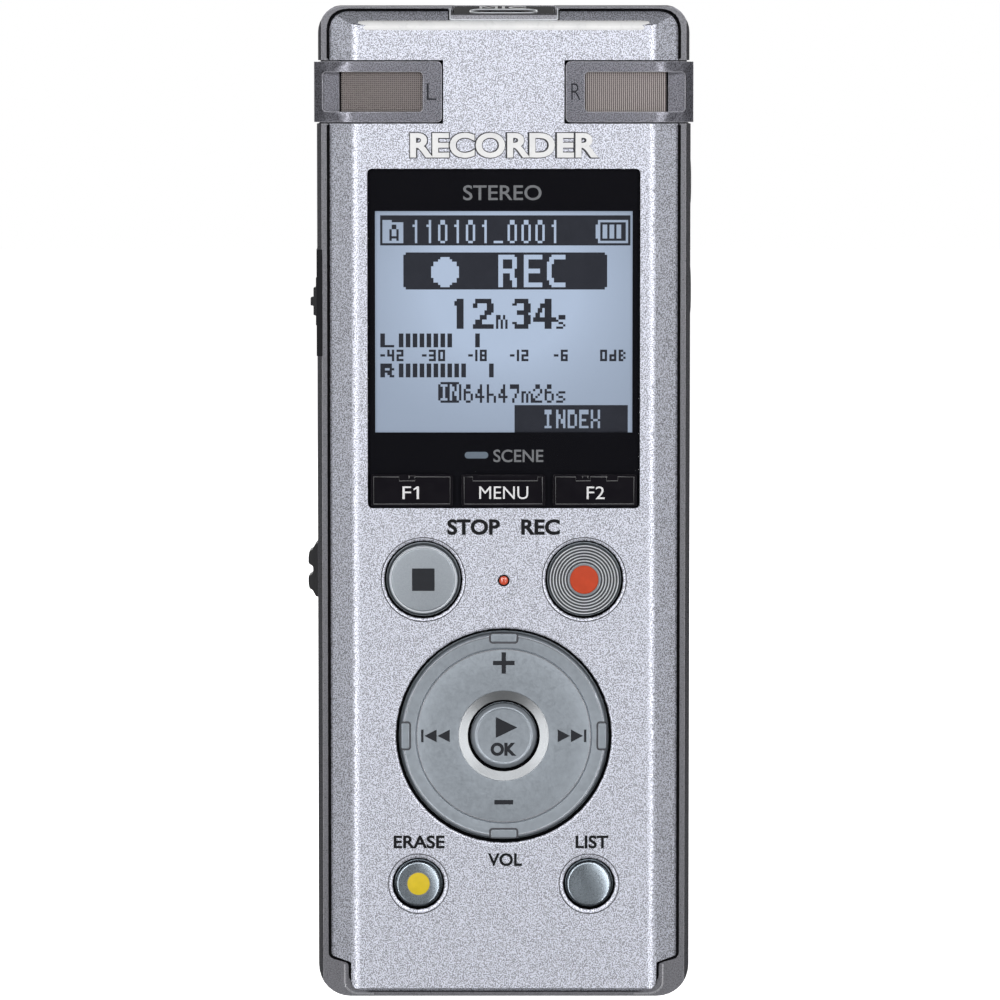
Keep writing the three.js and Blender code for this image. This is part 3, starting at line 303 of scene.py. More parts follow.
def fillet(points, radius, steps=3, closed=False):
    """The polyline with each corner turned into a small arc."""
    result = []
    count = len(points)
    for i, point in enumerate(points):
        if not closed and i in (0, count - 1):
            result.append(point)
            continue
        before, here, after = (Vector(points[j % count]) for j in (i - 1, i, i + 1))
        to_before, to_after = before - here, after - here
        reach = min(radius, to_before.length * 0.45, to_after.length * 0.45)
        start = here + to_before.normalized() * reach
        end = here + to_after.normalized() * reach
        for step in range(steps + 1):
            t = step / steps
            result.append(tuple(start * (1 - t) ** 2 + here * 2 * t * (1 - t) + end * t * t))
    return result


def ring_path(place, radius, y, steps=64):
    """The points of a level ring about (x, z)."""
    x, z = place
    turns = [2 * math.pi * i / steps for i in range(steps)]
    return [(x + radius * math.cos(t), y, z + radius * math.sin(t)) for t in turns]


def lathe(name, profile, place, segments=96):
    """A turned mesh about an axis along Y at place (x, z); the profile is [radius, y] in mm."""

    def build(bm):
        rings = []
        for radius, y in profile:
            on_axis = radius < 1e-6
            points = [(place[0], y, place[1])] if on_axis else ring_path(place, radius, y, segments)
            rings.append([bm.verts.new(point) for point in points])
        for a, b in zip(rings, rings[1:]):
            for i in range(segments):
                j = (i + 1) % segments
                corners = [a[i % len(a)], a[j % len(a)], b[j % len(b)], b[i % len(b)]]
                unique = list(dict.fromkeys(corners))
                if len(unique) > 2:
                    bm.faces.new(unique)
        bmesh.ops.remove_doubles(bm, verts=bm.verts, dist=1e-5)

    return mesh_from(name, build)


def prism(bm, near, far):
    """A closed solid between two outlines of like points."""
    near = [bm.verts.new(point) for point in near]
    far = [bm.verts.new(point) for point in far]
    bm.faces.new(near)
    bm.faces.new(list(reversed(far)))
    count = len(near)
    for i in range(count):
        j = (i + 1) % count
        bm.faces.new([near[i], far[i], far[j], near[j]])


def plate(bm, outline, front, back):
    """A flat plate in the XZ plane between two depths."""
    prism(bm, [(x, front, z) for x, z in outline], [(x, back, z) for x, z in outline])


def rectangle(x0, z0, x1, z1):
    return [(x0, z0), (x1, z0), (x1, z1), (x0, z1)]


def round_rectangle(x0, z0, x1, z1, radius):
    points = []
    steps = 6
    corners = [
        (x1 - radius, z0 + radius, -90),
        (x1 - radius, z1 - radius, 0),
        (x0 + radius, z1 - radius, 90),
        (x0 + radius, z0 + radius, 180),
    ]
    for cx, cz, start in corners:
        for step in range(steps + 1):
            angle = math.radians(start + 90 * step / steps)
            points.append((cx + radius * math.cos(angle), cz + radius * math.sin(angle)))
    return points


def plates(name, outlines, front, back, material, body="case"):
    """Several flat plates in one piece."""

    def build(bm):
        for outline in outlines:
            plate(bm, outline, front, back)

    return add_piece(name, mesh_from(name, build), material, body)


def turned_piece(name, profile, place, material, body="case", segments=96, **options):
    add_piece(name, lathe(name, profile, place, segments), material, body, **options)


def turned_ring(name, section, place, material, body="case", segments=96, **options):
    """A ring of closed section."""
    turned_piece(name, section + section[:1], place, material, body, segments, **options)


def bevel(piece, width, segments=2, material=-1):
    """Rounds the sharp edges; material is the slot of the rounded faces, or -1 for their own."""
    modifier = piece.modifiers.new("edge_round", "BEVEL")
    modifier.width = width * MM
    modifier.segments = segments
    modifier.limit_method = "ANGLE"
    modifier.angle_limit = math.radians(32)
    modifier.miter_outer = "MITER_ARC"
    modifier.material = material
    normals = piece.modifiers.new("even_shading", "WEIGHTED_NORMAL")
    normals.weight = 80


def refined(node, material, width, body="case", edge=None, merge=True):
    """The CAD node's solid with its edges rounded, and finished as edge, standing for the node;
    edge, where given, is a lighter paint on the rounded faces as painted highlight.
    """
    bm = bmesh.new()
    bm.from_mesh(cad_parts[node].data)
    bmesh.ops.remove_doubles(bm, verts=bm.verts, dist=1e-6)
    if merge:  # off where the joined faces would have holes
        flat = math.radians(0.6)
        bmesh.ops.dissolve_limit(
            bm, angle_limit=flat, verts=bm.verts, edges=bm.edges, delimit={"NORMAL"}
        )
    mesh = bpy.data.meshes.new(node + "_fine")
    bm.to_mesh(mesh)
    bm.free()
    piece = add_piece(node + "_fine", mesh, material, body, replaces=[node], smooth=180)
    if edge:
        mesh.materials.append(MAT[edge])
    bevel(piece, width, material=1 if edge else -1)


def dress(node, material):
    """A CAD node kept as it is, with a finished material."""
    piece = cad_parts[node]
    piece.data.materials.clear()
    piece.data.materials.append(MAT[material])


def wire(bm, points, radius, sides=6, closed=False):
    """A round wire through the points."""
    count = len(points)
    rings = []
    for i, point in enumerate(points):
        before = Vector(points[i - 1] if closed or i > 0 else point)
        after = Vector(points[(i + 1) % count] if closed or i < count - 1 else point)
        along = (after - before).normalized()
        across = Vector((0, 0, 1)) if abs(along.z) < 0.9 else Vector((0, 1, 0))
        side = along.cross(across).normalized()
        up = side.cross(along)
        turns = [2 * math.pi * k / sides for k in range(sides)]
        spokes = [radius * (side * math.cos(turn) + up * math.sin(turn)) for turn in turns]
        rings.append([bm.verts.new(Vector(point) + spoke) for spoke in spokes])
    links = list(zip(rings, rings[1:])) + ([(rings[-1], rings[0])] if closed else [])
    for a, b in links:
        near = min(range(sides), key=lambda k: (a[0].co - b[k].co).length) if closed else 0
        for k in range(sides):
            m = (k + 1) % sides
            bm.faces.new([a[k], a[m], b[(m + near) % sides], b[(k + near) % sides]])
    if not closed:
        bm.faces.new(rings[0])
        bm.faces.new(list(reversed(rings[-1])))


def wires(name, paths, radius, material, body="case", closed=False, sides=6):
    """Several round wires in one piece."""

    def build(bm):
        for path in paths:
            wire(bm, path, radius, sides, closed)

    add_piece(name, mesh_from(name, build), material, body)


def gap_ring(name, place, hole, key, shelf=SHELF, body="case"):
    """The black well round a key: a lining of the hole down to a narrow black shelf, as painted
    shade in the gap.
    """
    outer, inner = hole - 0.01, key + 0.1
    section = [(outer, PANEL_FRONT + 0.2), (outer, shelf), (inner, shelf), (inner, shelf - 0.06)]
    turned_ring(name, section, place, "gap", body)


# ---- lettering


def letter_mesh(name, words, weight):
    """Flat lettering as a mesh in the XY plane; weight thickens its strokes."""
    curve = bpy.data.curves.new(name, "FONT")
    curve.body = words
    curve.offset = weight
    curve.resolution_u = 5
    holder = bpy.data.objects.new(name, curve)
    bpy.context.scene.collection.objects.link(holder)
    bpy.context.view_layer.update()
    graph = bpy.context.evaluated_depsgraph_get()
    mesh = bpy.data.meshes.new_from_object(holder.evaluated_get(graph))
    bpy.data.objects.remove(holder)
    bpy.data.curves.remove(curve)
    return mesh


def lettering(name, words, across, up, material, place, body="case", weight=0.012, lift=0.02):
    """Lettering fitted to across (x0, x1) and up (z0, z1) mm, then set by place(x, z, height)."""
    mesh = letter_mesh(name, words, weight)
    xs = [v.co.x for v in mesh.vertices]
    ys = [v.co.y for v in mesh.vertices]
    wide = (across[1] - across[0]) / (max(xs) - min(xs))
    tall = (up[1] - up[0]) / (max(ys) - min(ys))
    bm = bmesh.new()
    bm.from_mesh(mesh)
    for vert in bm.verts:
        x = across[0] + (vert.co.x - min(xs)) * wide
        z = up[0] + (vert.co.y - min(ys)) * tall
        vert.co = Vector(place(x, z, 0.0)) * MM
    top = bmesh.ops.extrude_face_region(bm, geom=bm.faces[:])
    raised = [part for part in top["geom"] if isinstance(part, bmesh.types.BMVert)]
    shift = (Vector(place(0, 0, lift)) - Vector(place(0, 0, 0))) * MM
    bmesh.ops.translate(bm, vec=shift, verts=raised)
    bmesh.ops.recalc_face_normals(bm, faces=bm.faces)
    bm.to_mesh(mesh)
    bm.free()
    add_piece(name, mesh, material, body)


def on_front(depth):
    """Puts lettering on a face that looks to -Y at this depth."""
    return lambda x, z, height: (x, depth - height, z)


def on_back(depth):
    return lambda x, z, height: (-x, depth + height, z)


def on_left(depth, middle):
    """Lettering that reads up the side; x runs up the case."""
    return lambda x, z, height: (-depth - height, middle + z, x)


def on_right(depth, middle):
    return lambda x, z, height: (depth + height, middle - z, x)


# ---- housing


def housing():
    refined("front_panel", "silver", 0.07)
    # The frame's rounded edges take a lighter copy of its paint, as painted highlight.
    refined("mid_frame", "frame", 0.13, edge="frame_edge_highlight")
    refined("back_shell", "shell", 0.06, merge=False)
    refined("battery_cover", "shell", 0.05, "battery_door", merge=False)
    refined("card_cover", "shell", 0.1, "card_door")
    for i in range(1, 5):
        refined(f"screw_{i}", "nickel", 0.06)
    countersinks()
    panel_liner()
    panel_crest_highlight()
    corner_ridge_highlights()


def countersinks():
    """The fine dark line round each key's countersink, laid on its edge as painted shade."""
    y = PANEL_FRONT + 0.02
    rings = [ring_path(place, 4.48, y) for place in (STOP_AT, REC_AT)]
    rings += [ring_path(place, 3.2, y) for place in (ERASE_AT, LIST_AT)]
    wires("countersink_shade_lines", rings, 0.06, "line", closed=True)


def panel_liner():
    """The gap between the panel and the frame, made black by a thin bead round the panel's outline
    as painted shade.
    """
    gap = 0.15
    half, top, corner = 18.45 + gap, 105.1 + gap, 2.1 + gap
    notch = 16.3 + gap
    foot = [(12, 0.6), (14.7, 0.6), (notch, 1.8), (notch, 3.8 - gap), (half, 4.4 - gap)]
    below, above = MIC_SPAN[0] - 0.3, MIC_SPAN[1] + 0.3
    lower = fillet(foot + [(half, below)], 0.5)
    upper = fillet([(half, above), (half, top), (TAB_REACH, top)], corner, steps=6)
    lower = [(-x, z) for x, z in reversed(lower)] + lower
    left = [(-x, z) for x, z in upper]
    paths = [[(x, FRAME_FRONT - 0.01, z) for x, z in path] for path in (lower, upper, left)]
    wires("panel_gap_shade", paths, gap, "gap")


def panel_crest_highlight():
    """The rounded crest where the panel's face turns into its upper bevel, as a white bead: a
    painted highlight.
    """
    reach, z, radius = 15.3, 103.36, 0.8
    buried = 0.755  # how far behind the face the bead's middle lies
    tip = (-reach, PANEL_FRONT + 0.86, z)
    shoulder = (-reach + 0.8, PANEL_FRONT + buried, z)
    path = [tip, shoulder] + [(-x, y, z) for x, y, z in (shoulder, tip)]
    wires("panel_crest_highlight", [path], radius, "title", sides=32)


def corner_ridge_highlights():
    """A ridge on each filled lower corner of the frame, beside the panel's notch, in light paint as
    painted highlight.
    """
    bend = [(17.02, 3.45), (17.02, 1.0), (16.1, 0.3), (14.2, 0.24), (13.9, 0.24)]
    path = fillet(bend, 0.8, steps=4)
    for side, name in ((-1, "left"), (1, "right")):
        points = [(side * x, FRAME_FRONT, z) for x, z in path]
        wires(f"corner_ridge_highlight_{name}", [points], 0.13, "frame_edge_highlight")


# ---- microphones


def mesh_depth(x):
    """How far forward the bent microphone mesh lies at a distance from the middle."""
    return -6.42 + max(0.0, abs(x) - MESH_BEND) * 0.3


def mic_mesh(side):
    """Woven wire over a dark cloth: level wires in front on the left, upright ones on the right."""
    node = "mic_mesh_right" if side > 0 else "mic_mesh_left"
    low, high = span(node, Z)
    inner, outer = sorted(abs(v) for v in span(node, X))
    pitch, front_wire, back_wire = 0.212, 0.07, 0.05
    sheet = [inner, MESH_BEND, outer]

    def level(bm, radius, lift):
        z = low + radius
        while z < high:
            wire(bm, [(side * x, mesh_depth(x) - lift, z) for x in sheet], radius)
            z += pitch

    def upright(bm, radius, lift):
        x = inner + radius
        while x < outer:
            wire(bm, [(side * x, mesh_depth(x) - lift, z) for z in (low, high)], radius)
            x += pitch

    def build(bm):
        first, second = (upright, level) if side > 0 else (level, upright)
        first(bm, front_wire, 0.07)
        second(bm, back_wire, 0.01)

    def cloth(bm):
        section = [(side * x, mesh_depth(x) + 0.04) for x in sheet]
        section += [(side * x, mesh_depth(x) + 0.1) for x in reversed(sheet)]
        prism(bm, [(x, y, low) for x, y in section], [(x, y, high) for x, y in section])

    add_piece(node + "_weave", mesh_from(node, build), "mesh", replaces=[node])
    add_piece(node + "_cloth", mesh_from(node + "_cloth", cloth), "cloth")


def top_tab():
    """The tab in front of the top microphone, its bright lips and its port's rim, all in light paint
    as painted highlight, and its word.
    """
    half = 5.68
    drop = [(-6.73, 104.14), (-6.5, 104.6), (-6.4, 104.72), (-6.34, 104.74), (-6.38, 104.64)]
    drop.append((-6.66, 104.14))
    lip = [(-half, -5.9, 105.34), (-half, -6.4, 104.78), (-half, -6.72, 104.3)]
    lip.append((-half + 0.35, -6.76, 104.2))
    lip += [(-x, y, z) for x, y, z in reversed(lip)]

    def skin(bm):
        prism(bm, [(-half, y, z) for y, z in drop], [(half, y, z) for y, z in drop])

    def on_insert(x, z, height):
        return (x, z, on_slope(z) + height)

    add_piece("top_tab_skin", mesh_from("top_tab_skin", skin), "mic_edge_highlight")
    wires("top_tab_lip_highlight", [lip], 0.07, "white")
    wires("top_port_rim_highlight", [port_path()], 0.09, "white", closed=True)
    lettering("top_word", "MIC", (-2.6, 2.4), (-1.5, 0.3), "ink_white", on_insert, weight=0.0)


def port_path():
    """The long rounded outline of the port in the top insert."""
    steps = 12
    reach, radius, middle = 2.1, 1.45, -3.9
    port = []
    for side in (1, -1):
        for step in range(steps + 1):
            turn = math.pi * (step / steps - 0.5)
            y = middle + side * radius * math.sin(turn)
            port.append((side * (reach + radius * math.cos(turn)), y, on_slope(y) + 0.02))
    return port


def on_slope(y):
    """The height of the top insert's sloping face."""
    low, high = (-6.15, 104.8), (0.4, 105.7)
    return low[1] + (high[1] - low[1]) * (y - low[0]) / (high[0] - low[0])


def microphones():
    for side, name, letter in ((1, "right", "R"), (-1, "left", "L")):
        bezel = f"mic_bezel_{name}"
        # The bezel's rounded edges take a lighter copy of its paint, as painted highlight.
        refined(bezel, "mic", 0.13, edge="mic_edge_highlight")
        mic_mesh(side)
        across = (side * 7.62 - 0.5, side * 7.62 + 0.5)
        place = on_front(span(bezel, Y)[0])
        up = (95.75, 97.5)
        lettering(f"mic_letter_{name}", letter, across, up, "ink_symbol", place, weight=-0.012)
    refined("top_mic_insert", "gloss", 0.08)
    top_tab()


# ---- display


def display():
    refined("display_window", "window", 0.08)
    dress("display_mask", "mask")
    dress("lcd_panel", "lcd")
    place = on_front(UNDER_GLASS)
    lettering("label_top", "STEREO", (-4.3, 4.0), (85.15, 86.75), "ink_grey", place, weight=0.01)
    lettering("label_scene", "SCENE", (-1.1, 4.2), (57.35, 58.7), "ink_grey", place)
    pill = round_rectangle(-4.15, 57.75, -1.65, 58.45, 0.34)
    plates("label_pill", [pill], UNDER_GLASS - 0.02, UNDER_GLASS + 0.02, "ink_blue")


DOT = 0.2457  # the side of one dot
LCD_LEFT, LCD_TOP = -13.6, 83.79


def font(characters):
    """Characters of the display, each written out as its rows of dots."""
    return {letter: rows.split() for letter, rows in characters.items()}


GLYPHS = font({
    "0": "0110 1001 1001 1001 1001 1001 0110",
    "1": "0010 0110 0010 0010 0010 0010 0010",
    "2": "0110 1001 0001 0010 0100 1000 1111",
    "4": "0010 0110 0110 1010 1111 0010 0010",
    "6": "0110 1000 1110 1001 1001 1001 0110",
    "7": "1111 0001 0001 0010 0010 0100 0100",
    "_": "0000 0000 0000 0000 0000 0000 1111",
    "h": "1000 1000 1000 1110 1001 1001 1001",
    "m": "00000 00000 11010 10101 10101 10101 10101",
    "s": "0000 0000 0111 1000 0110 0001 1110",
    "A": "0110 1001 1001 1111 1001",
    "I": "111 010 010 010 010 010 111",
    "N": "1001 1101 1101 1011 1011 1001 1001",
    "D": "1110 1001 1001 1001 1001 1001 1110",
    "E": "1111 1000 1000 1110 1000 1000 1111",
    "X": "1001 1001 1001 0110 1001 1001 1001",
})
SMALL_GLYPHS = font({
    "-": "00 00 11 00 00",
    "0": "111 101 101 101 111",
    "1": "1 1 1 1 1",
    "2": "111 001 111 100 111",
    "3": "111 001 111 001 111",
    "4": "101 101 111 001 001",
    "6": "111 100 111 101 111",
    "8": "111 101 111 101 111",
    "d": "001 001 111 101 111",
    "B": "110 101 110 101 110",
    "L": "110000 110000 110000 110000 111111",
    "R": "111110 110011 111110 110110 110011",
})
# Large characters as strokes: (column, row, width, height) from each one's top left corner.
LARGE = {
    "1": [(1, 0, 3, 13), (0, 1, 2, 2)],
    "2": [(1, 0, 7, 2), (6, 2, 3, 4), (5, 5, 3, 2), (3, 7, 3, 2), (1, 9, 3, 2), (0, 11, 9, 2)]
    + [(0, 2, 2, 2)],
    "3": [(1, 0, 6, 2), (5, 2, 3, 4), (2, 5, 5, 2), (5, 7, 3, 4), (1, 11, 6, 2), (0, 10, 2, 1)]
    + [(0, 2, 2, 1)],
    "4": [(5, 0, 3, 13), (3, 2, 2, 2), (2, 4, 2, 2), (1, 6, 2, 2), (0, 8, 10, 2)],
    "R": [(0, 0, 2, 14), (2, 0, 5, 2), (6, 1, 2, 5), (2, 6, 5, 2), (5, 8, 2, 3), (6, 10, 2, 4)],
    "E": [(0, 0, 2, 14), (2, 0, 6, 2), (2, 6, 5, 2), (2, 12, 6, 2)],
    "C": [(2, 0, 6, 2), (1, 1, 2, 3), (0, 3, 2, 8), (1, 10, 2, 3), (2, 12, 6, 2)],
}


class Screen:
    """The display's dark dots, counted in columns and rows from its top left corner."""

    def __init__(self):
        self.dots = set()

    def fill(self, column, row, width, height, dark=True):
        cells = {(column + i, row + j) for i in range(width) for j in range(height)}
        self.dots = self.dots | cells if dark else self.dots - cells

    def glyph(self, rows, column, row, height, dark=True):
        for step in range(height):
            pattern = rows[step * len(rows) // height]
            for i, mark in enumerate(pattern):
                if mark == "1":
                    self.fill(column + i, row + step, 1, 1, dark)

    def write(self, words, column, row, font, height, pitch=None, dark=True):
        for letter in words:
            self.glyph(font[letter], column, row, height, dark)
            column += pitch or len(font[letter][0]) + 1

    def strokes(self, letter, column, row, dark=True):
        for right, down, width, height in LARGE[letter]:
            self.fill(column + right, row + down, width, height, dark)

    def plaque(self, column, row, width, height):
        """A dark field with its four corner dots left out."""
        self.fill(column, row, width, height)
        for i in (column, column + width - 1):
            for j in (row, row + height - 1):
                self.fill(i, j, 1, 1, dark=False)

    def runs(self):
        """The dots joined into level runs: (column, row, length)."""
        result = []
        for column, row in sorted(self.dots, key=lambda dot: (dot[1], dot[0])):
            if result and result[-1][1] == row and result[-1][0] + result[-1][2] == column:
                result[-1][2] += 1
            else:
                result.append([column, row, 1])
        return result


def screen_content():
    """A generic recording screen: folder, file number, level meters and times."""
    screen = Screen()
    # file line: folder, number, battery
    screen.fill(2, 1, 108, 13)
    screen.fill(3, 4, 9, 9, dark=False)
    screen.fill(3, 3, 4, 1, dark=False)
    screen.glyph(GLYPHS["A"], 6, 5, 7)
    screen.write("110101_0001", 15, 3, GLYPHS, 10, pitch=6, dark=False)
    screen.fill(95, 5, 1, 6, dark=False)
    screen.fill(96, 3, 13, 10, dark=False)
    screen.fill(97, 4, 11, 8)
    for bar in range(3):
        screen.fill(98 + bar * 3, 5, 2, 6, dark=False)
    # recording field, with its round mark
    screen.plaque(12, 17, 88, 16)
    mark = ((4, 19, 1), (3, 20, 1), (1, 21, 2), (0, 23, 5), (1, 28, 2), (3, 30, 1), (4, 31, 1))
    for inset, row, height in mark:
        screen.fill(24 + inset, row, 12 - 2 * inset, height, dark=False)
    for letter, column in (("R", 53), ("E", 64), ("C", 74)):
        screen.strokes(letter, column, 18, dark=False)
    # time elapsed
    for letter, column in (("1", 34), ("2", 42), ("3", 59), ("4", 68)):
        screen.strokes(letter, column, 37)
    screen.glyph(GLYPHS["m"][2:], 52, 44, 6)
    screen.glyph(GLYPHS["s"][2:], 78, 44, 6)
    # level meters and their scale
    for letter, row, bars, peak in (("L", 52, 8, 43), ("R", 65, 10, 49)):
        screen.write(letter, 2, row, SMALL_GLYPHS, 6)
        for bar in range(bars):
            screen.fill(10 + bar * 3, row, 2, 6)
        screen.fill(peak, row, 2, 6)
    scale = (("-42", 2), ("-30", 20), ("-18", 40), ("-12", 58), ("-6", 77), ("0dB", 97))
    for words, column in scale:
        screen.write(words, column, 59, SMALL_GLYPHS, 5)
    # time left
    screen.plaque(27, 73, 10, 9)
    screen.write("IN", 28, 74, GLYPHS, 7, dark=False)
    screen.write("64h47m26s", 38, 74, GLYPHS, 8, pitch=5)
    # soft key word
    screen.fill(60, 83, 49, 12)
    screen.write("INDEX", 73, 85, GLYPHS, 8, pitch=5, dark=False)
    return screen


def lcd_dots():
    """The dark dots, a hair in front of the display's lit ground."""
    front, back = LCD_FRONT - 0.02, LCD_FRONT - 0.004

    def build(bm):
        for column, row, length in screen_content().runs():
            left, top = LCD_LEFT + column * DOT, LCD_TOP - row * DOT
            plate(bm, rectangle(left, top - DOT, left + length * DOT, top), front, back)

    add_piece("lcd_dots", mesh_from("lcd_dots", build), "lcd_dark")


def soft_keys():
    """F1, MENU and F2: glossy black bars with a thin lighter rim as painted highlight, nubs and
    white words.
    """
    low, high, inset = 52.98, 55.86, 0.3
    drop = 0.42  # the depth of a nub
    up = (53.5, 54.85)
    face = span("soft_key_f1", Y)[0]
    place = on_front(face)
    for name, words, across, nubs in (
        ("f1", "F1", (-10.75, -9.0), ((-11.1, -9.4),)),
        ("menu", "MENU", (-2.6, 2.6), ((-3.3, 3.6),)),
        ("f2", "F2", (8.8, 10.7), ((7.65, 9.2), (10.9, 12.1))),
    ):
        node, body = f"soft_key_{name}", f"{name}_key"
        refined(node, "gloss", 0.14, body)
        lettering(f"soft_label_{name}", words, across, up, "ink_white", place, body, weight=0.0)
        if name == "f1":  # the flag that the font's 1 lacks
            near, far = across[1] - 0.2, across[1] - 0.58
            flag = [(near, up[1]), (near, 54.62), (far, 54.42), (far, 54.6)]
            plates("soft_label_flag", [flag], face - 0.02, face + 0.02, "ink_white", body)
        left, right = span(node, X)
        rim = [(left + inset, low), (left + inset, high)]
        for start, end in nubs:
            rim += [(start, high), (start, high - drop), (end, high - drop), (end, high)]
        rim += [(right - inset, high), (right - inset, low)]
        path = [(x, face - 0.005, z) for x, z in rim]
        wires(f"soft_rim_highlight_{name}", [path], 0.06, "edge", body, closed=True)


# ---- keys


def from_face(*points, face=KEY_FACE):
    """A profile from points given as (radius, depth behind the face)."""
    return [(radius, face + depth) for radius, depth in points]


def key_cap(name, place, profile, material):
    stands_for = {"replaces": [f"{name}_button"], "smooth": 50}
    turned_piece(f"{name}_key_cap", profile, place, material, f"{name}_key", **stands_for)


def symbols(name, outlines, body, face=KEY_FACE):
    """Dark signs printed on a key."""
    plates(name, outlines, face - 0.015, face + 0.02, "ink_symbol", body)


def key_profile(radius, top, edge):
    """From the middle of the face, by the rim and the skirt, to the flange and the stem."""
    front, back, flange = -6.38, -6.08, radius + 0.85
    skirt = [(radius, KEY_FACE + 0.5), (radius, front), (flange, front), (flange, back)]
    return fillet(top, edge) + skirt + [(1, back), (1, STEM_END), (0, STEM_END)]


def stop_key():
    top = from_face((0, 0), (3.3, 0), (3.4, 0.05), (3.52, -0.03), (3.66, 0), (3.74, 0.4))
    top += from_face((KEY_RADIUS, 0.6))
    key_cap("stop", STOP_AT, key_profile(KEY_RADIUS, top, 0.06), "steel")
    x, z = STOP_AT
    half = 1.2
    square = round_rectangle(x - half, z - half, x + half, z + half, 0.05)
    symbols("stop_mark", [square], "stop_key")
    # A white ring on the key's rim: a painted highlight.
    rim = ring_path(STOP_AT, 3.46, KEY_FACE - 0.005)
    wires("stop_rim_highlight", [rim], 0.05, "white", "stop_key", closed=True)
    gap_ring("stop_gap", STOP_AT, KEY_HOLE, KEY_RADIUS)


def rec_key():
    """The record key: turned grooves round a red dot, with dark wires in the valleys as painted
    shade and white wires on the crests as painted highlight.
    """
    body = "rec_key"
    pitch = 0.32
    grooves = [1.85 + i * pitch for i in range(6)]
    top = from_face((0, 0))
    for middle in grooves:
        top += from_face((middle - 0.11, 0), (middle, 0.16), (middle + 0.11, 0))
    top += from_face((3.66, 0), (3.74, 0.4), (KEY_RADIUS, 0.6))
    key_cap("rec", REC_AT, key_profile(KEY_RADIUS, top, 0.03), "steel")
    dot = from_face((0, -0.1), (1.42, -0.1), (1.52, -0.02), (1.52, 0.02))
    turned_piece("rec_mark", fillet(dot, 0.06) + from_face((0, 0.02)), REC_AT, "rec_red", body)
    ring = from_face((1.52, -0.05), (1.64, -0.05), (1.66, 0.02), (1.52, 0.02))
    turned_ring("rec_mark_ring", ring, REC_AT, "dish", body)
    gap_ring("rec_gap", REC_AT, KEY_HOLE, KEY_RADIUS)
    valley_shade = [ring_path(REC_AT, r, KEY_FACE + 0.06) for r in grooves]
    crest_highlights = [ring_path(REC_AT, r + pitch / 2, KEY_FACE + 0.01) for r in grooves]
    wires("rec_groove_shade", valley_shade, 0.07, "line", body, closed=True)
    wires("rec_crest_highlights", crest_highlights, 0.06, "white", body, closed=True)


def lean(mesh, place, reach, drop):
    """Slopes a key's face down towards its right, as a thumb rest."""
    for vert in mesh.vertices:
        x, z = vert.co.x / MM - place[0], vert.co.z / MM - place[1]
        along = (x * 0.94 + z * 0.33) / reach + 0.1
        if vert.co.y / MM < KEY_FACE + 0.35 and along > 0:
            vert.co.y += drop * along**2 * MM


def small_keys():
    top = from_face((0, 0.06), (0.8, 0.05), (1.6, 0.02), (2.2, 0), (2.38, 0.06), (SMALL_RADIUS, 0.3))
    for word, node, place in (
        ("erase", "erase_button", ERASE_AT),
        ("list", "list_button", LIST_AT),
    ):
        cap, body = f"{word}_key_cap", f"{word}_key"
        mesh = lathe(cap, key_profile(SMALL_RADIUS, top, 0.2), place)
        lean(mesh, place, SMALL_RADIUS, 0.25)
        add_piece(cap, mesh, "mirror", body, replaces=[node], smooth=50)
        gap_ring(f"{word}_gap", place, SMALL_HOLE, SMALL_RADIUS)
    dot = from_face((0, 0), (1.1, 0), (1.2, 0.04), (1.2, 0.2), (0, 0.22))
    turned_piece("erase_mark", dot, ERASE_AT, "yellow", "erase_key")
    ring = from_face((1.2, 0.01), (1.3, 0.01), (1.32, 0.1), (1.2, 0.1))
    turned_ring("erase_mark_ring", ring, ERASE_AT, "dish", "erase_key")


def nav_profile():
    """The disc's section: dished centre, a fine groove, a raised rim and the hidden flange."""
    top = from_face((OK_HOLE, 0.4), (4.7, 0.15), (4.84, 0), (9.28, 0), (9.35, 0.14), (9.42, 0))
    top += from_face((10.6, 0), (10.7, -0.035), (10.8, -0.02), (10.93, 0.1), (NAV_RADIUS, 0.4))
    flange = [(NAV_RADIUS, -6.12), (12, -6.12), (12, -5.87), (6.9, -5.87), (6.9, -6.4)]
    return fillet(top, 0.035) + flange + [(OK_HOLE, -6.4), top[0]]


def turned(points, quarter):
    """Points about the disc's centre, turned by quarter turns and put in place."""
    turn = quarter * math.pi / 2
    c, s = round(math.cos(turn)), round(math.sin(turn))
    return [(NAV_AT[0] + x * c - z * s, NAV_AT[1] + x * s + z * c) for x, z in points]


def nav_tabs():
    """Four low bars across the rim of the disc, each with a dark seam round it as painted shade."""
    bars = [turned(round_rectangle(-1.42, 10.0, 1.42, 10.96, 0.25), q) for q in range(4)]
    shade_seams = [turned(round_rectangle(-1.55, 9.88, 1.55, 11.0, 0.35), q) for q in range(4)]
    bevel(plates("nav_tabs", bars, KEY_FACE - 0.14, KEY_FACE + 0.3, "key", "nav_disc"), 0.16, 3)
    plates("nav_tab_shade_seams", shade_seams, KEY_FACE - 0.065, KEY_FACE + 0.1, "line", "nav_disc")


def nav_rims():
    """The bright lines where the disc's rim and groove catch the light."""
    rims = [ring_path(NAV_AT, 10.7, KEY_FACE - 0.02, 96)]
    rims.append(ring_path(NAV_AT, 9.23, KEY_FACE + 0.005, 96))
    wires("nav_rims", rims, 0.04, "frame_edge_highlight", "nav_disc", closed=True)


def nav_dish():
    """The satin ring that leads down to the middle key."""
    ring = from_face((3.84, 0.2), (4.8, 0.01), (4.84, 0.2), (3.84, 0.5))
    turned_ring("nav_dish_ring", ring, NAV_AT, "dish", "nav_disc", 128, smooth=8)


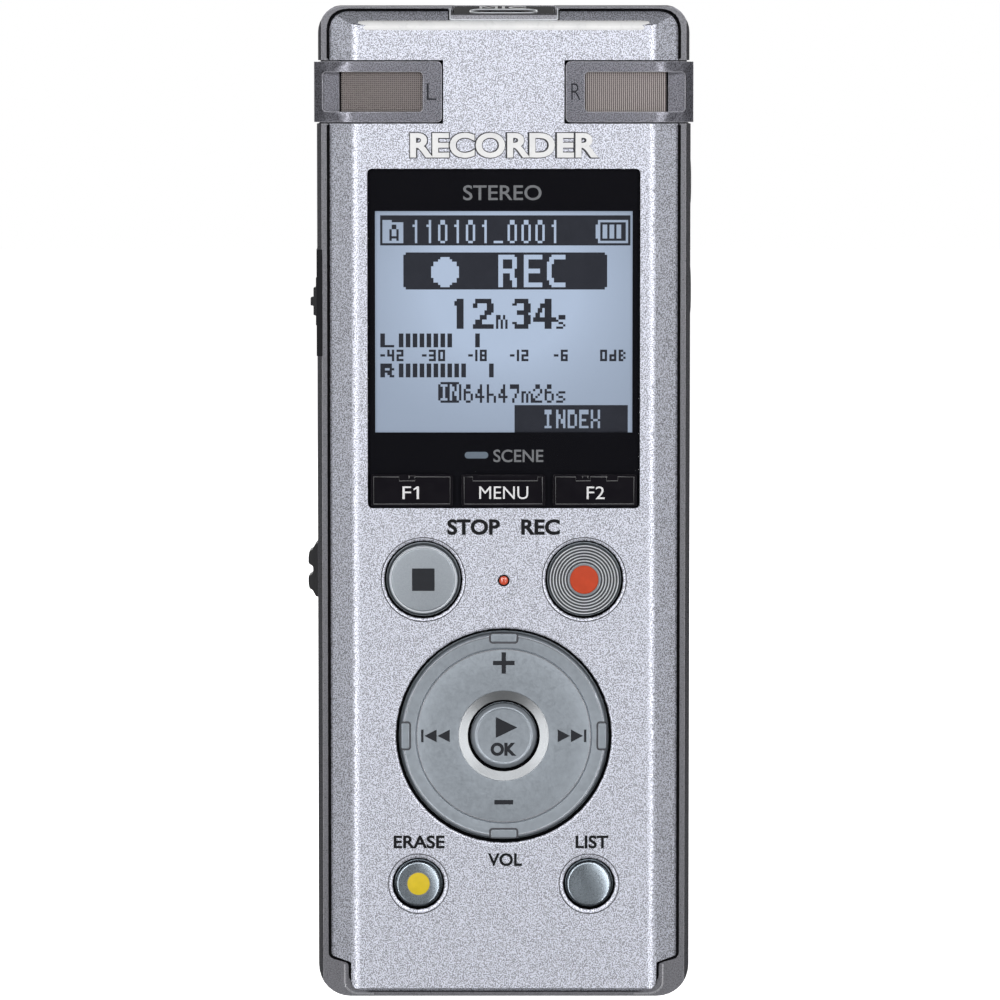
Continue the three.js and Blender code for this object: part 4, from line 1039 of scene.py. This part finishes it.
def nav_symbols():
    """Plus, minus, and the two skip signs."""
    x, z = NAV_AT
    half, bar = 0.68, 0.23
    marks = [
        rectangle(x - 1.15, z + 7.57, x + 1.15, z + 8.03),
        rectangle(x - bar, z + 6.66, x + bar, z + 7.57),
        rectangle(x - bar, z + 8.03, x + bar, z + 8.94),
        rectangle(x - 1.0, z - 7.36, x + 1.0, z - 6.88),
    ]
    for side in (-1, 1):
        for start in (5.75, 7.15):
            near, tip = x + side * start, x + side * (start + 1.3)
            marks.append([(near, z + half), (near, z - half), (tip, z)])
        near, far = sorted((x + side * 8.55, x + side * 8.8))
        marks.append(rectangle(near, z - half, far, z + half))
    symbols("nav_symbols", marks, "nav_disc")


def nav_disc():
    profile = nav_profile()
    cap = {"segments": 160, "replaces": ["nav_ring"], "smooth": 60}
    turned_piece("nav_disc_cap", profile, NAV_AT, "key", "nav_disc", **cap)
    nav_tabs()
    nav_dish()
    nav_rims()
    nav_symbols()
    gap_ring("nav_gap", NAV_AT, NAV_HOLE, NAV_RADIUS + 0.05)
    gap_ring("ok_gap", NAV_AT, OK_HOLE, OK_RADIUS, SHELF + 0.03, "nav_disc")


def ok_key():
    face = KEY_FACE - 0.02
    top = from_face((0, 0), (2.85, 0), (2.98, -0.05), (3.15, 0), face=face)
    top += from_face((OK_RADIUS, 0.25), (OK_RADIUS, 0.45), face=face)
    flange = [(OK_RADIUS, -6.15), (4.6, -6.15), (4.6, STEM_END), (0, STEM_END)]
    key_cap("ok", NAV_AT, fillet(top, 0.1) + flange, "key")
    x, z = NAV_AT
    left, middle, half = x - 0.85, z + 0.9, 1.12
    play = [(left, middle - half), (left + 2.3, middle), (left, middle + half)]
    symbols("play_mark", [play], "ok_key", face)
    across, up = (x - 1.4, x + 1.35), (z - 2.15, z - 0.72)
    place = on_front(face)
    lettering("ok_label", "OK", across, up, "ink_symbol", place, "ok_key", weight=0.05)


def lamp():
    face = PANEL_FRONT
    back = -5.6
    dome = from_face((0, -0.12), (0.25, -0.1), (0.45, -0.02), (0.5, 0.1), face=face)
    dome += [(0.5, back), (0, back)]
    turned_piece("lamp_lens", dome, LED_AT, "led", segments=48, replaces=["led_lens"])
    ring = from_face((0.5, -0.02), (0.6, -0.02), (0.6, 0.1), (0.5, 0.1), face=face)
    turned_ring("lamp_ring", ring, LED_AT, "ink_dark", segments=48)


def keys():
    stop_key()
    rec_key()
    small_keys()
    nav_disc()
    ok_key()
    lamp()


def panel_print():
    """Generic words printed on the panel."""
    place = on_front(PANEL_FRONT)
    for name, words, across, middle, cap, weight in (
        ("print_stop", "STOP", (-6.0, -0.4), 50.5, 1.7, 0.036),
        ("print_rec", "REC", (1.85, 5.97), 50.5, 1.7, 0.036),
        ("print_erase", "ERASE", (-11.75, -6.3), 16.8, 1.4, 0.028),
        ("print_list", "LIST", (7.65, 11.15), 16.8, 1.4, 0.028),
        ("print_vol", "VOL", (-1.7, 1.95), 14.9, 1.4, 0.028),
    ):
        up = (middle - cap / 2, middle + cap / 2)
        lettering(name, words, across, up, "ink_dark", place, weight=weight, lift=0.012)
    for name, across, up, weight, lift in (
        ("title_edge", (-10.0, 10.1), (89.55, 92.4), 0.062, 0.04),
        ("title", (-9.9, 10.0), (89.65, 92.3), 0.032, 0.1),
    ):
        lettering(name, "RECORDER", across, up, name, place, weight=weight, lift=lift)


# ---- sides, ends and inside


def hold_skin():
    """The part of the black hold plate that wraps onto the frame's chamfered edge."""
    low, high = 68.6, 79.9
    outline = [(19.88, -1.0), (19.88, -5.42), (19.3, -5.99), (19.24, -5.9), (19.7, -5.4)]
    outline.append((19.7, -1.0))

    def build(bm):
        prism(bm, [(-x, y, low) for x, y in outline], [(-x, y, high) for x, y in outline])

    add_piece("hold_plate_skin", mesh_from("hold_plate_skin", build), "satin")


def sides():
    """The side pieces, with their generic words."""
    hold_skin()
    left = on_left(LEFT_FACE, SIDE_Y - 4.0)
    right = on_right(RIGHT_FACE, SIDE_Y)
    lettering("word_hold", "HOLD", (71.6, 76.9), (-0.6, 0.7), "ink_white", left)
    lettering("word_mic", "MIC", (90.1, 92.3), (-0.45, 0.5), "ink_white", right)
    lettering("word_ear", "EAR", (78.9, 81.1), (-0.45, 0.5), "ink_white", right)
    refined("hold_switch_plate", "satin", 0.08)
    refined("hold_switch_knob", "satin", 0.1, "hold_knob")
    refined("usb_lever", "satin", 0.12, "usb_slide")
    refined("usb_plug_shell", "nickel", 0.05, "usb_slide")
    refined("mic_jack_ring", "satin", 0.08)
    refined("ear_jack_ring", "satin", 0.08)


def back():
    """The battery cover's arrow and word."""
    body = "battery_door"
    face = span("battery_cover", Y)[1]
    pointer = [(-1.3, 41.9), (0, 40.3), (1.3, 41.9)]
    plates("cover_arrow", [pointer], face - 0.05, face + 0.015, "ink_white", body)
    lettering("word_open", "OPEN", (-2.6, 2.6), (37.6, 39.1), "ink_white", on_back(face), body)


def inside():
    """The CAD nodes that are shown as they are, by their finish."""
    kept = {
        "nickel": "hold_switch_base card_socket shield_can battery_contact battery_spring "
        "mic_capsule_right mic_capsule_left top_mic_capsule",
        "inner": "usb_carriage battery_tray nav_gimbal",
        "satin": "mic_jack_body ear_jack_body speaker",
        "board": "key_board main_board",
        "white": "usb_tongue",
        "film": "dome_sheet",
        "sleeve": "battery",
        "mesh": "top_mic_mesh",
        "diffuser": "lcd_backlight",
    }
    for material, nodes in kept.items():
        for node in nodes.split():
            dress(node, material)


# ---- stage

MIDDLE = Vector((0, 0, 0.053))


def look_at(thing, target):
    direction = Vector(target) - thing.location
    thing.rotation_euler = direction.to_track_quat("-Z", "Y").to_euler()


def around(azimuth, elevation):
    """A place 1 m from the middle of the object; azimuth 0 is in front, 90 to the right."""
    a, e = math.radians(azimuth), math.radians(elevation)
    level = math.cos(e)
    return MIDDLE + Vector((math.sin(a) * level, -math.cos(a) * level, math.sin(e)))


def soft_box(name, azimuth, elevation, size, power):
    light = bpy.data.lights.new(name, "AREA")
    light.shape = "RECTANGLE"
    light.size, light.size_y = size
    light.energy = power
    thing = bpy.data.objects.new(name, light)
    thing.location = around(azimuth, elevation)
    thing.visible_camera = False
    bpy.context.scene.collection.objects.link(thing)
    look_at(thing, MIDDLE)


def white_room(lit):
    """White where the camera sees past the object; a dim even light on the object itself."""
    world = bpy.data.worlds.new("studio")
    world.use_nodes = True
    tree = world.node_tree
    dim = tree.nodes["Background"]
    dim.inputs["Color"].default_value = (1, 1, 1, 1)
    dim.inputs["Strength"].default_value = lit
    white = tree.nodes.new("ShaderNodeBackground")
    white.inputs["Color"].default_value = (1, 1, 1, 1)
    rays = tree.nodes.new("ShaderNodeLightPath")
    mix = tree.nodes.new("ShaderNodeMixShader")
    tree.links.new(rays.outputs["Is Camera Ray"], mix.inputs["Fac"])
    tree.links.new(dim.outputs["Background"], mix.inputs[1])
    tree.links.new(white.outputs["Background"], mix.inputs[2])
    tree.links.new(mix.outputs["Shader"], tree.nodes["World Output"].inputs["Surface"])
    bpy.context.scene.world = world


def floor():
    """A white floor that casts no light on the object, low enough to clear the extended plug."""
    mesh = bpy.data.meshes.new("floor")
    half = 3.0
    corners = [(x, z, 0) for x, z in rectangle(-half, -half, half, half)]
    mesh.from_pydata(corners, [], [(0, 1, 2, 3)])
    piece = bpy.data.objects.new("floor", mesh)
    piece.location.z = -16.5 * MM
    piece.visible_diffuse = False
    piece.visible_glossy = False
    piece.visible_shadow = False
    bpy.context.scene.collection.objects.link(piece)
    mat, tree, shader = new_material("floor_white", (0.9, 0.9, 0.9), 0.0, 0.8)
    stops = [(0.3, (0.88, 0.88, 0.88)), (0.7, (0.92, 0.92, 0.92))]
    tree.links.new(ramp(tree, noise(tree, 0.02), stops), shader.inputs["Base Color"])
    shader.inputs["Emission Strength"].default_value = 0.97
    mesh.materials.append(mat)


def stage():
    floor()
    white_room(0.12)
    bpy.context.scene.view_settings.view_transform = "Standard"
    soft_box("front_box", 0, 18, (0.4, 0.16), 1.4)
    soft_box("left_strip", -21, 1, (0.1, 0.9), 3.4)
    soft_box("right_strip", 21, 1, (0.1, 0.9), 3.4)
    soft_box("left_edge", -60, 8, (0.25, 0.8), 0.6)
    soft_box("right_edge", 60, 8, (0.25, 0.8), 0.6)
    soft_box("back_left", 205, 30, (0.6, 0.6), 4.5)
    soft_box("back_right", 140, 15, (0.3, 0.8), 3.0)


def camera():
    """The photograph's viewpoint: straight in front, a little above."""
    lens = bpy.data.cameras.new("view")
    lens.lens = 201
    lens.clip_start = 0.05
    eye = bpy.data.objects.new("view", lens)
    distance = 0.6
    elevation = math.radians(4.4)
    target = Vector((-0.0004, 0, 0.05283))
    eye.location = target + distance * Vector((0, -math.cos(elevation), math.sin(elevation)))
    bpy.context.scene.collection.objects.link(eye)
    look_at(eye, target)
    bpy.context.scene.camera = eye


camera()
housing()
microphones()
display()
lcd_dots()
soft_keys()
keys()
panel_print()
sides()
back()
inside()
stage()
